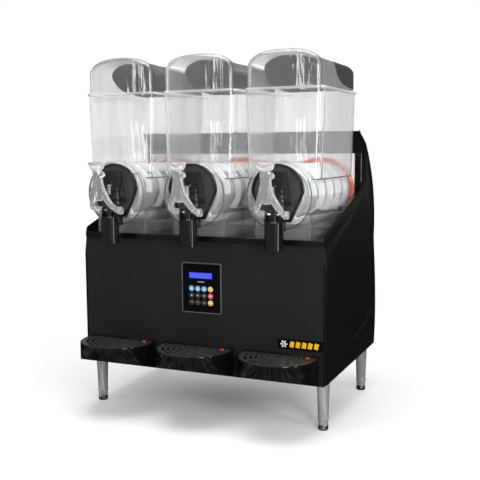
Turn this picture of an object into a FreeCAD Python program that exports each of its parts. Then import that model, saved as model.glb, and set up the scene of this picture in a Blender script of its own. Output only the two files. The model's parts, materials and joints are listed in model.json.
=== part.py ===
import FreeCAD, Part
import math
import os
import re
import Sketcher

# A countertop frozen-drink machine: three clear bowls in a row over a black case on four legs.
# Millimetres. +X is to the right of someone facing the taps, +Y goes into the machine, +Z is up,
# and the origin is on the floor, under the middle of the whole machine.

V = FreeCAD.Vector
doc = FreeCAD.newDocument("FrozenDrinkMachine")

# Driving dimensions. Heights in the case are from its underside, heights above the deck are from
# the deck, and depths are from the plane of the front panel unless the comment says otherwise.
SIZES = {
    # case
    "bowl_pitch": 197,
    "side_room": 4.5,
    "side_wall": 9,
    "case_depth": 414,
    "rear_bulge": 5,
    "leg_height": 105,
    "body_height": 306,
    "deck_thick": 6,
    "lip_rise": 4,
    "lip_drop": 8,
    "lip_reach": 3,
    "sheet_gauge": 1.5,
    "pan_flange": 15,
    "rear_inset": 21,
    "fin_height": 239,
    "fin_setback": 22,
    "motor_room": 124,
    "seal_margin": 8,
    "bulkhead_gauge": 3,
    "hood_wall": 2,
    # legs
    "leg_top_radius": 14,
    "leg_foot_radius": 11,
    "foot_radius": 11.5,
    "foot_height": 12,
    "leg_inset": 20,
    "front_leg_depth": 37,
    "rear_leg_inset": 62,
    # bowl
    "axis_height": 96,
    "bowl_wall": 3,
    "disc_reach": 17,
    "disc_thick": 4,
    "barrel_flare": 5,
    "seal_gap": 0.3,
    "seal_thick": 8,
    "hopper_front": 6,
    "hopper_setback": 22,
    "hopper_half": 88,
    "hopper_draft": 6,
    "hopper_top": 317,
    "hopper_bottom": 129,
    "hopper_corner": 18,
    "skirt_half": 64,
    "skirt_front": 6,
    "skirt_setback": 16,
    # lid
    "lid_lift": 0.3,
    "lid_flange": 5,
    "lid_overhang": 3,
    "dome_inset": 5,
    "dome_side": 60,
    "dome_crown": 24,
    "lid_wall": 2.5,
    # drum and auger
    "drum_radius": 50,
    "drum_wall": 2,
    "drum_front": 12,
    "auger_gap": 2,
    "auger_blade": 14,
    "auger_thick": 5,
    "auger_pitch": 60,
    "auger_clearance": 4,
    "hub_thick": 8,
    "shaft_radius": 8,
    "clearance": 0.3,
    "running_fit": 0.05,
    # tap
    "tap_reach": 43,
    "piston_radius": 14,
    "spout_wall": 5.7,
    "spout_drop": 14,
    "spout_height": 58,
    "ear_thick": 4,
    "pivot_height": 59,
    "pin_radius": 3,
    "pin_length": 63,
    "stem_half": 7,
    "stem_top": 81,
    "piston_lift": 14,
    "plate_thick": 7,
    "plate_radius": 57.5,
    # drip tray
    "tray_reach": 107,
    "tray_round_depth": 20,
    "tray_top": 63,
    "tray_back_rise": 6,
    "tray_slope": 0.32,
    "tray_wall": 3,
    "grille_thick": 3,
    "slot_width": 5,
    "slot_step": 11.5,
    "slot_first": 22,
    "slot_rings": 5,
    "stud_radius": 4,
    "stud_length": 12,
    "float_inset": 23,
    "stud_height": 45,
    "float_radius": 6,
    "float_stem_radius": 4.2,
    # control panel
    "bezel_side": 9,
    "bezel_height": 194,
    "bezel_width": 98,
    "bezel_tall": 114,
    "bezel_rim": 3,
    "bezel_proud": 3,
    "overlay_thick": 1.5,
    "key_radius": 6.3,
    "key_step_x": 15.5,
    "key_step_z": 15.4,
    "key_rise": 0.4,
    "display_width": 56,
    "display_tall": 13,
    "display_raise": 28,
    "board_setback": 12,
    "board_thick": 1.6,
    "board_margin": 8,
    "standoff_radius": 3,
    # inside the case
    "fan_radius": 84,
    "fan_side": -140,
    "fan_height": 110,
    "compressor_radius": 58,
    "compressor_side": 150,
    "compressor_depth": 235,
    "can_lift": 40,
    "can_height": 110,
    "can_end": 32,
    "foot_plate_half": 75,
    "foot_plate_depth": 45,
    "foot_plate_thick": 12,
    "core_half": 95,
    "core_height": 200,
    "core_lift": 8,
    "core_depth": 27,
    "core_gap": 29,
    "end_plate": 3,
    # back
    "air_slot_half": 85,
    "air_slot_height": 40,
    "air_slot_tall": 6,
    "air_slot_step": 14,
    "air_slots": 12,
    "inlet_side": 56,
    "inlet_height": 45,
    "inlet_width": 30,
    "inlet_tall": 26,
    "inlet_deep": 25,
    "inlet_floor": 8,
    "inlet_flange": 5,
    "inlet_rim": 3,
    "inlet_wall": 3,
    "screw_radius": 4,
    "screw_head": 2.2,
}

# Dimensions that follow from the driving ones.
FOLLOWS = {
    "case_half": "1.5 * bowl_pitch + side_room",
    "inner_half": "case_half - side_wall",
    "front": "(tray_reach - case_depth - rear_bulge) / 2",
    "deck_top": "leg_height + body_height",
    "panel_top": "deck_top - lip_drop",
    "deck_surface": "deck_top + lip_rise",
    "rear_face": "front + case_depth - rear_inset",
    "bulkhead": "front + case_depth - motor_room",
    "hopper_rear": "case_depth - motor_room - hopper_setback",
    "skirt_rear": "case_depth - motor_room - skirt_setback",
    "rear_leg_depth": "case_depth - rear_leg_inset",
    "shaft_axis": "deck_top + axis_height",
    "auger_inner": "drum_radius + auger_gap",
    "auger_outer": "auger_inner + auger_blade",
    "barrel_inner": "auger_outer + auger_clearance",
    "barrel_radius": "barrel_inner + bowl_wall",
    "bulkhead_top": "shaft_axis + barrel_radius + barrel_flare + seal_margin",
    "disc_front": "front - disc_reach",
    "barrel_rear": "bulkhead - seal_thick - seal_gap",
    "tap_axis": "front - tap_reach",
    "spout_bore": "piston_radius + clearance",
    "spout_radius": "spout_bore + spout_wall",
    "spout_bottom": "deck_top - spout_drop",
    "pivot": "deck_top + pivot_height",
    "tray_radius": "tray_reach - tray_round_depth",
    "tray_rim": "leg_height + tray_top",
    "float_side": "tray_radius - float_inset",
    "float_depth": "2 + 2 * tray_wall + float_radius",
    "core_back": "rear_face - core_gap",
    "core_front": "core_back - core_depth",
    "inlet_axis": "inner_half - inlet_side",
    "board_face": "front + board_setback",
    "bezel_bottom": "leg_height + bezel_height - bezel_tall / 2",
}

sheet = doc.addObject("Spreadsheet::Sheet", "Sizes")
for row, (name, size) in enumerate(SIZES.items(), start=1):
    sheet.set(f"A{row}", name)
    sheet.set(f"B{row}", str(size))
    sheet.setAlias(f"B{row}", name)
doc.recompute()

owner = {name: "Sizes." for name in SIZES}


def bound(formula):
    """The formula with each dimension's owner in front of its name, as an expression needs it."""
    return re.sub(r"[a-z][a-z_]+", lambda word: owner.get(word.group(), "") + word.group(), str(formula))


follows = doc.addObject("App::VarSet", "Follows")
for name, formula in FOLLOWS.items():
    follows.addProperty("App::PropertyFloat", name)
    follows.setExpression(name, bound(formula))
    owner[name] = "Follows."
doc.recompute()


def mm(name):
    """A dimension's present value, for the shapes that no feature can make."""
    if owner[name] == "Sizes.":
        return float(sheet.get(name))
    return float(getattr(follows, name))


# ---- helpers -------------------------------------------------------------------------------------

parts = []


def keep(obj, label):
    """Makes an object a sub-part of the machine, under the name that its file gets."""
    obj.Label = label
    parts.append(obj)
    return obj


def bind(obj, **formulas):
    """Ties properties to the sheet; x, y and z are the object's position."""
    for prop, formula in formulas.items():
        path = "Placement.Base." + prop if prop in ("x", "y", "z") else prop
        obj.setExpression(path, bound(formula))
    return obj


def box(name, x, y, z):
    """A Part::Box between three pairs of formulas."""
    obj = doc.addObject("Part::Box", name)
    sides = [f"({high}) - ({low})" for low, high in (x, y, z)]
    return bind(obj, x=x[0], y=y[0], z=z[0], Length=sides[0], Width=sides[1], Height=sides[2])


def rod(name, radius, x, y, z, height, along="z"):
    """A Part::Cylinder that starts at x, y, z and runs along +Z, +Y or +X."""
    obj = doc.addObject("Part::Cylinder", name)
    if along == "y":
        obj.Placement.Rotation = FreeCAD.Rotation(V(1, 0, 0), -90)
    if along == "x":
        obj.Placement.Rotation = FreeCAD.Rotation(V(0, 1, 0), 90)
    return bind(obj, Radius=radius, Height=height, x=x, y=y, z=z)


def fuse(name, *shapes):
    obj = doc.addObject("Part::MultiFuse", name)
    obj.Shapes = list(shapes)
    return obj


def cut(name, base, *tools):
    obj = doc.addObject("Part::Cut", name)
    obj.Base = base
    obj.Tool = tools[0] if len(tools) == 1 else fuse(name + "_tools", *tools)
    return obj


def group(name, shapes):
    """Separate solids of one kind that share a node."""
    obj = doc.addObject("Part::Compound", name)
    obj.Links = shapes
    return obj


def shaped(label, shape, at=(0, 0, 0)):
    """A sub-part whose surface is made with Part's own functions."""
    obj = doc.addObject("Part::Feature", label)
    obj.Shape = shape
    obj.Placement = FreeCAD.Placement(V(*at), FreeCAD.Rotation())
    return keep(obj, label)


def sketch_on(body, role, name, offset="0"):
    """A sketch on one of the body's own origin planes, moved along the plane's normal."""
    sketch = body.newObject("Sketcher::SketchObject", name)
    plane = [feature for feature in body.Origin.OriginFeatures if feature.Role == role][0]
    sketch.AttachmentSupport = [(plane, "")]
    sketch.MapMode = "FlatFace"
    sketch.setExpression("AttachmentOffset.Base.z", bound(offset))
    return sketch


def tie(sketch, kind, *where):
    """A sketch dimension whose value is the last item, a formula."""
    *elements, formula = where
    index = sketch.addConstraint(Sketcher.Constraint(kind, *elements, 1.0))
    sketch.setExpression(f"Constraints[{index}]", bound(formula))


def rectangle(sketch, left, right, low, high):
    """A rectangle in a sketch, with its four sides tied to formulas."""
    corners = [V(0, 0, 0), V(1, 0, 0), V(1, 1, 0), V(0, 1, 0)]
    lines = []
    for start, end in zip(corners, corners[1:] + corners[:1]):
        lines.append(sketch.addGeometry(Part.LineSegment(start, end), False))
    for first, second in zip(lines, lines[1:] + lines[:1]):
        sketch.addConstraint(Sketcher.Constraint("Coincident", first, 2, second, 1))
    for line, kind in zip(lines, ("Horizontal", "Vertical", "Horizontal", "Vertical")):
        sketch.addConstraint(Sketcher.Constraint(kind, line))
    tie(sketch, "DistanceX", -1, 1, lines[0], 1, left)
    tie(sketch, "DistanceX", -1, 1, lines[0], 2, right)
    tie(sketch, "DistanceY", -1, 1, lines[0], 1, low)
    tie(sketch, "DistanceY", -1, 1, lines[2], 1, high)


def pad(body, sketch, length, name, backward=False):
    feature = body.newObject("PartDesign::Pad", name)
    feature.Profile = sketch
    feature.Reversed = backward
    feature.setExpression("Length", bound(length))
    return feature


def pocket(body, sketch, length, name, backward=False):
    feature = body.newObject("PartDesign::Pocket", name)
    feature.Profile = sketch
    feature.Reversed = backward
    feature.setExpression("Length", bound(length))
    return feature


def face_of(edges):
    return Part.Face(Part.Wire(edges))


def smooth(points):
    """A curve through the points."""
    curve = Part.BSplineCurve()
    curve.interpolate(points)
    return curve.toShape()


def lines_through(points):
    return Part.makePolygon(points).Edges


def rounded_rectangle(half, low, high, corner, z):
    """A level wire, 2 x half wide and from low to high in Y, with round corners."""
    turn = corner * (1 - math.sqrt(0.5))
    edges = []
    spots = [(half, low, -1, 1), (half, high, -1, -1), (-half, high, 1, -1), (-half, low, 1, 1)]
    arcs = []
    for x, y, inward_x, inward_y in spots:
        ends = [V(x + inward_x * corner, y, z), V(x, y + inward_y * corner, z)]
        if inward_x * inward_y > 0:
            ends.reverse()
        middle = V(x + inward_x * turn, y + inward_y * turn, z)
        arcs.append((ends[0], middle, ends[1]))
    for arc, following in zip(arcs, arcs[1:] + arcs[:1]):
        edges.append(Part.Arc(*arc).toShape())
        edges.append(Part.LineSegment(arc[2], following[0]).toShape())
    return Part.Wire(edges)


def cylinder_y(radius, start, end, x=0, z=0):
    return Part.makeCylinder(radius, end - start, V(x, start, z), V(0, 1, 0))


def block(x, y, z):
    return Part.makeBox(x[1] - x[0], y[1] - y[0], z[1] - z[0], V(x[0], y[0], z[0]))


# ---- case ----------------------------------------------------------------------------------------

# Folded steel pan that everything stands on.
base_pan = keep(doc.addObject("PartDesign::Body", "BasePan"), "base_pan")
sketch = sketch_on(base_pan, "XY_Plane", "PanOutline", "leg_height")
rectangle(sketch, "-inner_half", "inner_half", "front + sheet_gauge", "rear_face - sheet_gauge")
pad(base_pan, sketch, "pan_flange", "PanBlank")
sketch = sketch_on(base_pan, "XY_Plane", "PanInside", "leg_height + pan_flange")
rectangle(
    sketch,
    "-inner_half + sheet_gauge",
    "inner_half - sheet_gauge",
    "front + 2 * sheet_gauge",
    "rear_face - 2 * sheet_gauge",
)
pocket(base_pan, sketch, "pan_flange - sheet_gauge", "PanHollow")

# Flat front panel with the window that the control board looks through.
front_panel = keep(doc.addObject("PartDesign::Body", "FrontPanel"), "front_panel")
sketch = sketch_on(front_panel, "XZ_Plane", "PanelOutline", "-front")
rectangle(sketch, "-inner_half", "inner_half", "leg_height", "panel_top")
pad(front_panel, sketch, "sheet_gauge", "PanelSheet", backward=True)
sketch = sketch_on(front_panel, "XZ_Plane", "PanelWindow", "-front")
rectangle(
    sketch,
    "bezel_side - bezel_width / 2 + 2 * bezel_rim",
    "bezel_side + bezel_width / 2 - 2 * bezel_rim",
    "bezel_bottom + 2 * bezel_rim",
    "bezel_bottom + bezel_tall - 2 * bezel_rim",
)
pocket(front_panel, sketch, "sheet_gauge", "PanelHole")

# Rear panel with rows of air slots and the hole of the power inlet.
rear_panel = keep(doc.addObject("PartDesign::Body", "RearPanel"), "rear_panel")
sketch = sketch_on(rear_panel, "XZ_Plane", "RearOutline", "-rear_face")
rectangle(sketch, "-inner_half", "inner_half", "leg_height", "deck_top - deck_thick")
pad(rear_panel, sketch, "sheet_gauge", "RearSheet")
sketch = sketch_on(rear_panel, "XZ_Plane", "InletHole", "-rear_face")
rectangle(
    sketch,
    "inlet_axis - inlet_width / 2",
    "inlet_axis + inlet_width / 2",
    "leg_height + inlet_height - inlet_tall / 2",
    "leg_height + inlet_height + inlet_tall / 2",
)
pocket(rear_panel, sketch, "sheet_gauge", "InletPocket", backward=True)
sketch = sketch_on(rear_panel, "XZ_Plane", "AirSlot", "-rear_face")
rectangle(
    sketch,
    "fan_side - air_slot_half",
    "fan_side + air_slot_half",
    "leg_height + air_slot_height",
    "leg_height + air_slot_height + air_slot_tall",
)
air_slot = pocket(rear_panel, sketch, "sheet_gauge", "AirSlotPocket", backward=True)
doc.recompute()
slots = rear_panel.newObject("PartDesign::LinearPattern", "AirSlots")
slots.Originals = [air_slot]
slots.Direction = (sketch, ["V_Axis"])
slots.setExpression("Length", bound("air_slot_step * (air_slots - 1)"))
slots.setExpression("Occurrences", bound("air_slots"))
rear_panel.Tip = slots

# Moulded deck under the bowls, with a lip along its front edge.
top_deck = keep(doc.addObject("PartDesign::Body", "TopDeck"), "top_deck")
sketch = sketch_on(top_deck, "XY_Plane", "DeckOutline", "deck_top - deck_thick")
rectangle(sketch, "-inner_half", "inner_half", "front", "rear_face")
pad(top_deck, sketch, "deck_thick + lip_rise", "DeckPlate")
sketch = sketch_on(top_deck, "XY_Plane", "LipOutline", "panel_top")
rectangle(sketch, "-inner_half", "inner_half", "front - lip_reach", "front + lip_reach")
pad(top_deck, sketch, "lip_drop + lip_rise", "DeckLip")


def fin_back():
    """The swept back edge of a side panel, from the bottom corner to the tip of the fin."""
    front, back = mm("front"), mm("front") + mm("case_depth")
    low, deck = mm("leg_height"), mm("deck_top")
    tip = V(0, mm("bulkhead") - mm("fin_setback"), deck + mm("fin_height"))
    lower = [V(0, back - 5, low), V(0, back + mm("rear_bulge"), low + 75), V(0, back, low + 170)]
    waist = V(0, back - 18, deck - 27)
    sweep = [waist, V(0, back - 20, deck + 62), V(0, back - 39, deck + 118)]
    sweep += [V(0, back - 67, deck + 164), V(0, back - 109, deck + 211), tip]
    return smooth(lower + [waist]), smooth(sweep)


def fin_front():
    """The front and top edges of a side panel, from the tip down to the bottom front corner."""
    front, deck = mm("front"), mm("deck_top")
    tip = V(0, mm("bulkhead") - mm("fin_setback"), deck + mm("fin_height"))
    bulkhead = mm("bulkhead")
    hook = V(0, bulkhead - 8, deck + 101)
    fin = smooth([tip, V(0, bulkhead - 2, deck + 199), V(0, bulkhead + 9, deck + 141), hook])
    shoulder = V(0, front + 10, deck + 17)
    top = smooth([hook, V(0, front + 230, deck + 80), V(0, front + 120, deck + 49), shoulder])
    corner = [V(0, front + 3, deck + 14), V(0, front, deck + 7)]
    round_top = Part.Arc(shoulder, *corner).toShape()
    low = V(0, front, mm("leg_height"))
    return [fin, top, round_top] + lines_through([corner[1], low])


def side_panel(label, outside, inside):
    """One side of the case: a thick moulded panel whose back sweeps up into a fin."""
    lower, sweep = fin_back()
    edges = [lower, sweep] + fin_front()
    start = V(0, mm("front"), mm("leg_height"))
    edges += lines_through([start, lower.Vertexes[0].Point])
    face = Part.Face(Part.Wire(Part.sortEdges(edges)[0]))
    panel = face.extrude(V(abs(outside - inside), 0, 0))
    shaped(label, panel, (min(outside, inside), 0, 0))


side_panel("side_panel_left", -mm("case_half"), -mm("inner_half"))
side_panel("side_panel_right", mm("case_half"), mm("inner_half"))


def rear_hood():
    """The curved cover over the gearmotors, between the two fins."""
    back, deck = mm("front") + mm("case_depth"), mm("deck_top")
    bulkhead = mm("bulkhead")
    wall = mm("hood_wall")
    ridge = V(0, bulkhead - 12, deck + mm("fin_height") - 4)
    foot = V(0, mm("rear_face"), mm("deck_surface"))
    brow = V(0, bulkhead, mm("bulkhead_top"))
    outside = smooth([foot, V(0, back - 24, deck + 62), V(0, back - 44, deck + 116),
                      V(0, back - 73, deck + 162), V(0, bulkhead + 8, deck + 214), ridge])
    inside = smooth([V(0, brow.y + wall, ridge.z - 21), V(0, back - 75, deck + 159),
                     V(0, back - 46, deck + 114), V(0, back - 26, deck + 61), foot - V(0, wall, 0)])
    edges = [outside] + lines_through([ridge, brow, brow + V(0, wall, 0), inside.Vertexes[0].Point])
    edges += [inside] + lines_through([foot - V(0, wall, 0), foot])
    face = Part.Face(Part.Wire(Part.sortEdges(edges)[0]))
    return face.extrude(V(2 * mm("inner_half"), 0, 0))


shaped("rear_hood", rear_hood(), (-mm("inner_half"), 0, 0))

# White bulkhead that carries the three cold drums, with a hole for each drive shaft.
shaft_holes = [
    rod(f"ShaftHole{n}", "shaft_radius + 1", f"({n} - 2) * bowl_pitch", "bulkhead", "shaft_axis",
        "bulkhead_gauge", along="y")
    for n in (1, 2, 3)
]
plate = box("BulkheadPlate", ("-inner_half", "inner_half"), ("bulkhead", "bulkhead + bulkhead_gauge"),
            ("deck_surface", "bulkhead_top"))
keep(cut("Bulkhead", plate, *shaft_holes), "evaporator_bulkhead")

# Four tapered steel legs, and the levelling feet under them.
legs, feet = [], []
corners = [(side, depth) for side in ("-", "") for depth in ("front_leg_depth", "rear_leg_depth")]
for index, (side, depth) in enumerate(corners):
    place = {"x": f"{side}(case_half - leg_inset)", "y": f"front + {depth}"}
    leg = doc.addObject("Part::Cone", f"Leg{index}")
    legs.append(bind(leg, Radius1="leg_foot_radius", Radius2="leg_top_radius",
                     Height="leg_height - foot_height", z="foot_height", **place))
    foot = doc.addObject("Part::Cylinder", f"Foot{index}")
    feet.append(bind(foot, Radius="foot_radius", Height="foot_height", **place))
keep(group("Legs", legs), "legs")
keep(group("LegFeet", feet), "leg_feet")

# ---- control panel -------------------------------------------------------------------------------

bezel_x = ("bezel_side - bezel_width / 2", "bezel_side + bezel_width / 2")
bezel_z = ("bezel_bottom", "bezel_bottom + bezel_tall")
rim_x = (bezel_x[0] + " + bezel_rim", bezel_x[1] + " - bezel_rim")
rim_z = (bezel_z[0] + " + bezel_rim", bezel_z[1] + " - bezel_rim")
bezel_y = ("front - bezel_proud", "front")
keep(cut("Bezel", box("BezelBlock", bezel_x, bezel_y, bezel_z), box("BezelHole", rim_x, bezel_y, rim_z)),
     "control_bezel")

# Sealed keypad: one sheet with low domes over its twelve switches and a window for the display.
display_x = ("bezel_side - 2 - display_width / 2", "bezel_side - 2 + display_width / 2")
display_z = (
    "bezel_bottom + bezel_tall / 2 + display_raise - display_tall / 2",
    "bezel_bottom + bezel_tall / 2 + display_raise + display_tall / 2",
)
overlay_face = "front - overlay_thick"
overlay = box("OverlaySheet", rim_x, (overlay_face, "front"), rim_z)
domes = [
    rod(f"Key{row}{column}", "key_radius",
        f"bezel_side - 1 + ({column} - 1.5) * key_step_x", f"{overlay_face} - key_rise",
        f"bezel_bottom + bezel_tall / 2 - 1.5 - ({row} * key_step_z)", "key_rise + 0.5", along="y")
    for row in range(3)
    for column in range(4)
]
keypad = fuse("Keypad", overlay, *domes)
keep(cut("KeypadOverlay", keypad, box("OverlayWindow", display_x, (overlay_face, "front"), display_z)),
     "keypad_overlay")
board_y = ("board_face", "board_face + board_thick")
keep(box("Display", display_x, (overlay_face, board_y[0]), display_z), "display")

# Control board on four stand-offs behind the front panel.
board = box("Board", (bezel_x[0] + " - board_margin", bezel_x[1] + " + board_margin"), board_y,
            (bezel_z[0] + " - board_margin", bezel_z[1] + " + board_margin"))
standoffs = [
    rod(f"Standoff{x}{z}", "standoff_radius", f"{bezel_x[x]} + ({2 * x - 1}) * standoff_radius",
        "front + sheet_gauge", f"{bezel_z[z]} + ({2 * z - 1}) * standoff_radius",
        "board_setback - sheet_gauge", along="y")
    for x in (0, 1)
    for z in (0, 1)
]
keep(fuse("ControlBoard", board, *standoffs), "control_board")

# ---- inside the case -----------------------------------------------------------------------------

pan_floor = "leg_height + sheet_gauge"

# Hermetic compressor: a welded steel can with domed ends on a foot plate.
can_place = {"x": "compressor_side", "y": "front + compressor_depth"}
can = bind(doc.addObject("Part::Cylinder", "Can"), Radius="compressor_radius", Height="can_height",
           z=f"{pan_floor} + can_lift", **can_place)
ends = [
    bind(doc.addObject("Part::Ellipsoid", f"CanEnd{index}"), Radius1="can_end", Radius2="compressor_radius",
         Radius3="compressor_radius", z=f"{pan_floor} + {height}", **can_place)
    for index, height in enumerate(("can_lift", "can_lift + can_height"))
]
foot_plate = box(
    "FootPlate",
    ("compressor_side - foot_plate_half", "compressor_side + foot_plate_half"),
    ("front + compressor_depth - foot_plate_depth", "front + compressor_depth + foot_plate_depth"),
    (pan_floor, f"{pan_floor} + foot_plate_thick"),
)
keep(fuse("Compressor", can, *ends, foot_plate), "compressor")

# Condenser core between two end plates, close behind the rear air slots.
core = box("Core", ("fan_side - core_half", "fan_side + core_half"), ("core_front", "core_back"),
           (f"{pan_floor} + core_lift", f"{pan_floor} + core_lift + core_height"))
end_plates = [
    box(f"EndPlate{index}", (f"fan_side + {x}", f"fan_side + {x} + end_plate"),
        ("core_front - 4", "core_back + 4"), (pan_floor, f"{pan_floor} + core_lift + core_height + 4"))
    for index, x in enumerate(("-core_half - end_plate", "core_half"))
]
keep(fuse("Condenser", core, *end_plates), "condenser")

# Fan: a shroud ring on the condenser with a motor on three arms, and a five-bladed rotor.


shroud_gap, shroud_wall, shroud_depth = 8, 2, 50
plate_thick, fan_spindle = 3, 4


def fan_motor():
    z = mm("leg_height") + mm("fan_height")
    x, back = mm("fan_side"), mm("core_front")
    start = back - shroud_depth
    radius = mm("fan_radius") + shroud_gap
    motor_radius, motor_length, arm_half = 32, 42, 5
    ring = cylinder_y(radius + shroud_wall, start, back, x, z).cut(cylinder_y(radius, start, back, x, z))
    motor = cylinder_y(motor_radius, start - plate_thick - motor_length, start - plate_thick, x, z)
    arm = block((x - arm_half, x + arm_half), (start - plate_thick, start), (z, z + radius + 1))
    arms = [arm.rotated(V(x, 0, z), V(0, 1, 0), turn) for turn in (0, 120, 240)]
    hub = cylinder_y(motor_radius + 2, start - plate_thick - 1, start, x, z)
    spindle_bore = cylinder_y(fan_spindle + mm("clearance"), start - 20, start, x, z)
    return ring.multiFuse([motor, hub] + arms).cut(spindle_bore)


def fan_rotor():
    z = mm("leg_height") + mm("fan_height")
    x, start = mm("fan_side"), mm("core_front") - shroud_depth + 5
    hub_radius, hub_depth, blade_half, blade_thick, pitch = 22, 30, 28, 2, 24
    middle = start + hub_depth / 2
    spindle = cylinder_y(fan_spindle, start - 18, start, x, z)
    shapes = [cylinder_y(hub_radius, start, start + hub_depth, x, z), spindle]
    for turn in range(0, 360, 72):
        blade = block((x - blade_half, x + blade_half), (middle - blade_thick / 2, middle + blade_thick / 2),
                      (z + hub_radius - 7, z + mm("fan_radius") - 4))
        blade.rotate(V(x, middle, z), V(0, 0, 1), pitch)
        blade.rotate(V(x, 0, z), V(0, 1, 0), turn)
        shapes.append(blade)
    return shapes[0].multiFuse(shapes[1:])


shaped("fan_motor", fan_motor())
shaped("fan_rotor", fan_rotor())

# Appliance inlet in the rear panel: the socket of the power lead.
def inlet_box(name, grow, start, end):
    """A box round the inlet's axis, larger than the panel's hole by grow on all four sides."""
    return box(
        name,
        (f"inlet_axis - inlet_width / 2 - {grow}", f"inlet_axis + inlet_width / 2 + {grow}"),
        (start, end),
        (f"leg_height + inlet_height - inlet_tall / 2 - {grow}",
         f"leg_height + inlet_height + inlet_tall / 2 + {grow}"),
    )


inlet_face = "rear_face + inlet_rim"
inlet_flange = inlet_box("InletFlange", "inlet_flange", "rear_face", inlet_face)
inlet_body = inlet_box("InletBody", "(0 - clearance)", "rear_face - inlet_deep", inlet_face)
inlet_well = inlet_box("InletWell", "(0 - inlet_wall)", "rear_face - inlet_deep + inlet_floor", inlet_face)
keep(cut("PowerInlet", fuse("InletSolid", inlet_flange, inlet_body), inlet_well), "power_inlet")

# Screws along the rear panel's two long edges.
screws = []
for row, height in enumerate(("leg_height + 12", "deck_top - deck_thick - 10")):
    for column in range(4):
        side = f"({column} - 1.5) * (inner_half - 15) * 2 / 3"
        screws.append(rod(f"Screw{row}{column}", "screw_radius", side, "rear_face", height, "screw_head",
                          along="y"))
keep(group("PanelScrews", screws), "panel_screws")

# ---- cold drums, seals and gearmotors, one for each bowl -----------------------------------------


def bowl_x(number):
    return (number - 2) * mm("bowl_pitch")


shaft_grip = 13


def drum():
    """A steel drum that is open at the back, with the tube that the drive shaft runs through."""
    wall, radius, bore = mm("drum_wall"), mm("drum_radius"), mm("shaft_radius") + mm("clearance")
    start, end, z = mm("front") + mm("drum_front"), mm("bulkhead"), mm("shaft_axis")
    outside = cylinder_y(radius, start, end, 0, z)
    outside = outside.makeFillet(8, [min(outside.Edges, key=lambda edge: edge.CenterOfMass.y)])
    hollow = cylinder_y(radius - wall, start + 10, end, 0, z)
    tube = cylinder_y(bore + wall, start, end, 0, z)
    return outside.cut(hollow).fuse(tube).cut(cylinder_y(bore, start, end, 0, z))


def seal():
    z = mm("shaft_axis")
    end = mm("bulkhead")
    start = end - mm("seal_thick")
    ring = cylinder_y(mm("barrel_radius") + mm("barrel_flare"), start, end, 0, z)
    ring = ring.cut(cylinder_y(mm("auger_outer") + 1, start, end, 0, z))
    return ring.makeFillet(1.5, ring.Edges[:1])


def gearmotor():
    """Square gearbox on the bulkhead, with a round motor behind it and a bore for the shaft."""
    z, start = mm("shaft_axis"), mm("bulkhead") + mm("bulkhead_gauge")
    half, depth, motor_radius = 38, 32, 28
    gearbox = block((-half, half), (start, start + depth), (z - half - 4, z + half))
    motor = cylinder_y(motor_radius, start + depth, start + 2 * depth, 0, z)
    bore = cylinder_y(mm("shaft_radius") + mm("clearance"), start, start + shaft_grip + 1, 0, z)
    return gearbox.fuse(motor).cut(bore)


for label, shape in (("evaporator_drums", drum()), ("bowl_seals", seal()), ("gearmotors", gearmotor())):
    copies = [shape.translated(V(bowl_x(number), 0, 0)) for number in (1, 2, 3)]
    shaped(label, Part.makeCompound(copies))

# ---- bowl, lid and auger -------------------------------------------------------------------------


def hopper(inset, floor, roof):
    """The tapered upper box of a bowl, drawn in by inset on all four sides."""
    deck, front = mm("deck_top"), mm("front")
    height = mm("hopper_top") - mm("hopper_bottom")
    wires = []
    for level in (floor, roof):
        draft = mm("hopper_draft") * (mm("hopper_top") - level) / height
        wires.append(rounded_rectangle(
            mm("hopper_half") - draft - inset,
            front + mm("hopper_front") + inset,
            front + mm("hopper_rear") - draft - inset,
            mm("hopper_corner") - inset,
            deck + level,
        ))
    return Part.makeLoft(wires, True)


def barrel(inset, start, end):
    """The lying barrel of a bowl, which widens towards its open rear end."""
    full = mm("barrel_rear") - mm("disc_front")
    z = mm("shaft_axis")
    radii = [
        mm("barrel_radius") - inset + mm("barrel_flare") * (y - mm("disc_front")) / full
        for y in (start, end)
    ]
    return Part.makeCone(radii[0], radii[1], end - start, V(0, start, z), V(0, 1, 0))


def bowl():
    """Clear bowl in one moulding: open hopper, lying barrel with a front disc, and a base skirt."""
    wall, front = mm("bowl_wall"), mm("front")
    start, end = mm("disc_front"), mm("barrel_rear")
    bottom, top = mm("hopper_bottom"), mm("hopper_top")
    half, low, high = mm("skirt_half"), front + mm("skirt_front"), front + mm("skirt_rear")
    foot, axis = mm("deck_surface"), mm("shaft_axis")
    skirt = block((-half, half), (low, high), (foot, axis))
    skirt_inside = block((wall - half, half - wall), (low + wall, high - wall), (foot, axis))
    skirt_inside = skirt_inside.cut(barrel(0, start, end))
    outside = hopper(0, bottom, top).multiFuse([barrel(0, start, end), skirt])
    inside = hopper(wall, bottom + wall, top).fuse(barrel(wall, start + mm("disc_thick"), end))
    port = cylinder_y(9, start, start + mm("disc_thick"), 0, mm("deck_top") + 36)
    hollow = outside.cut(inside).cut(skirt_inside).cut(port)
    return max(hollow.Solids, key=lambda solid: solid.Volume)


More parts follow.
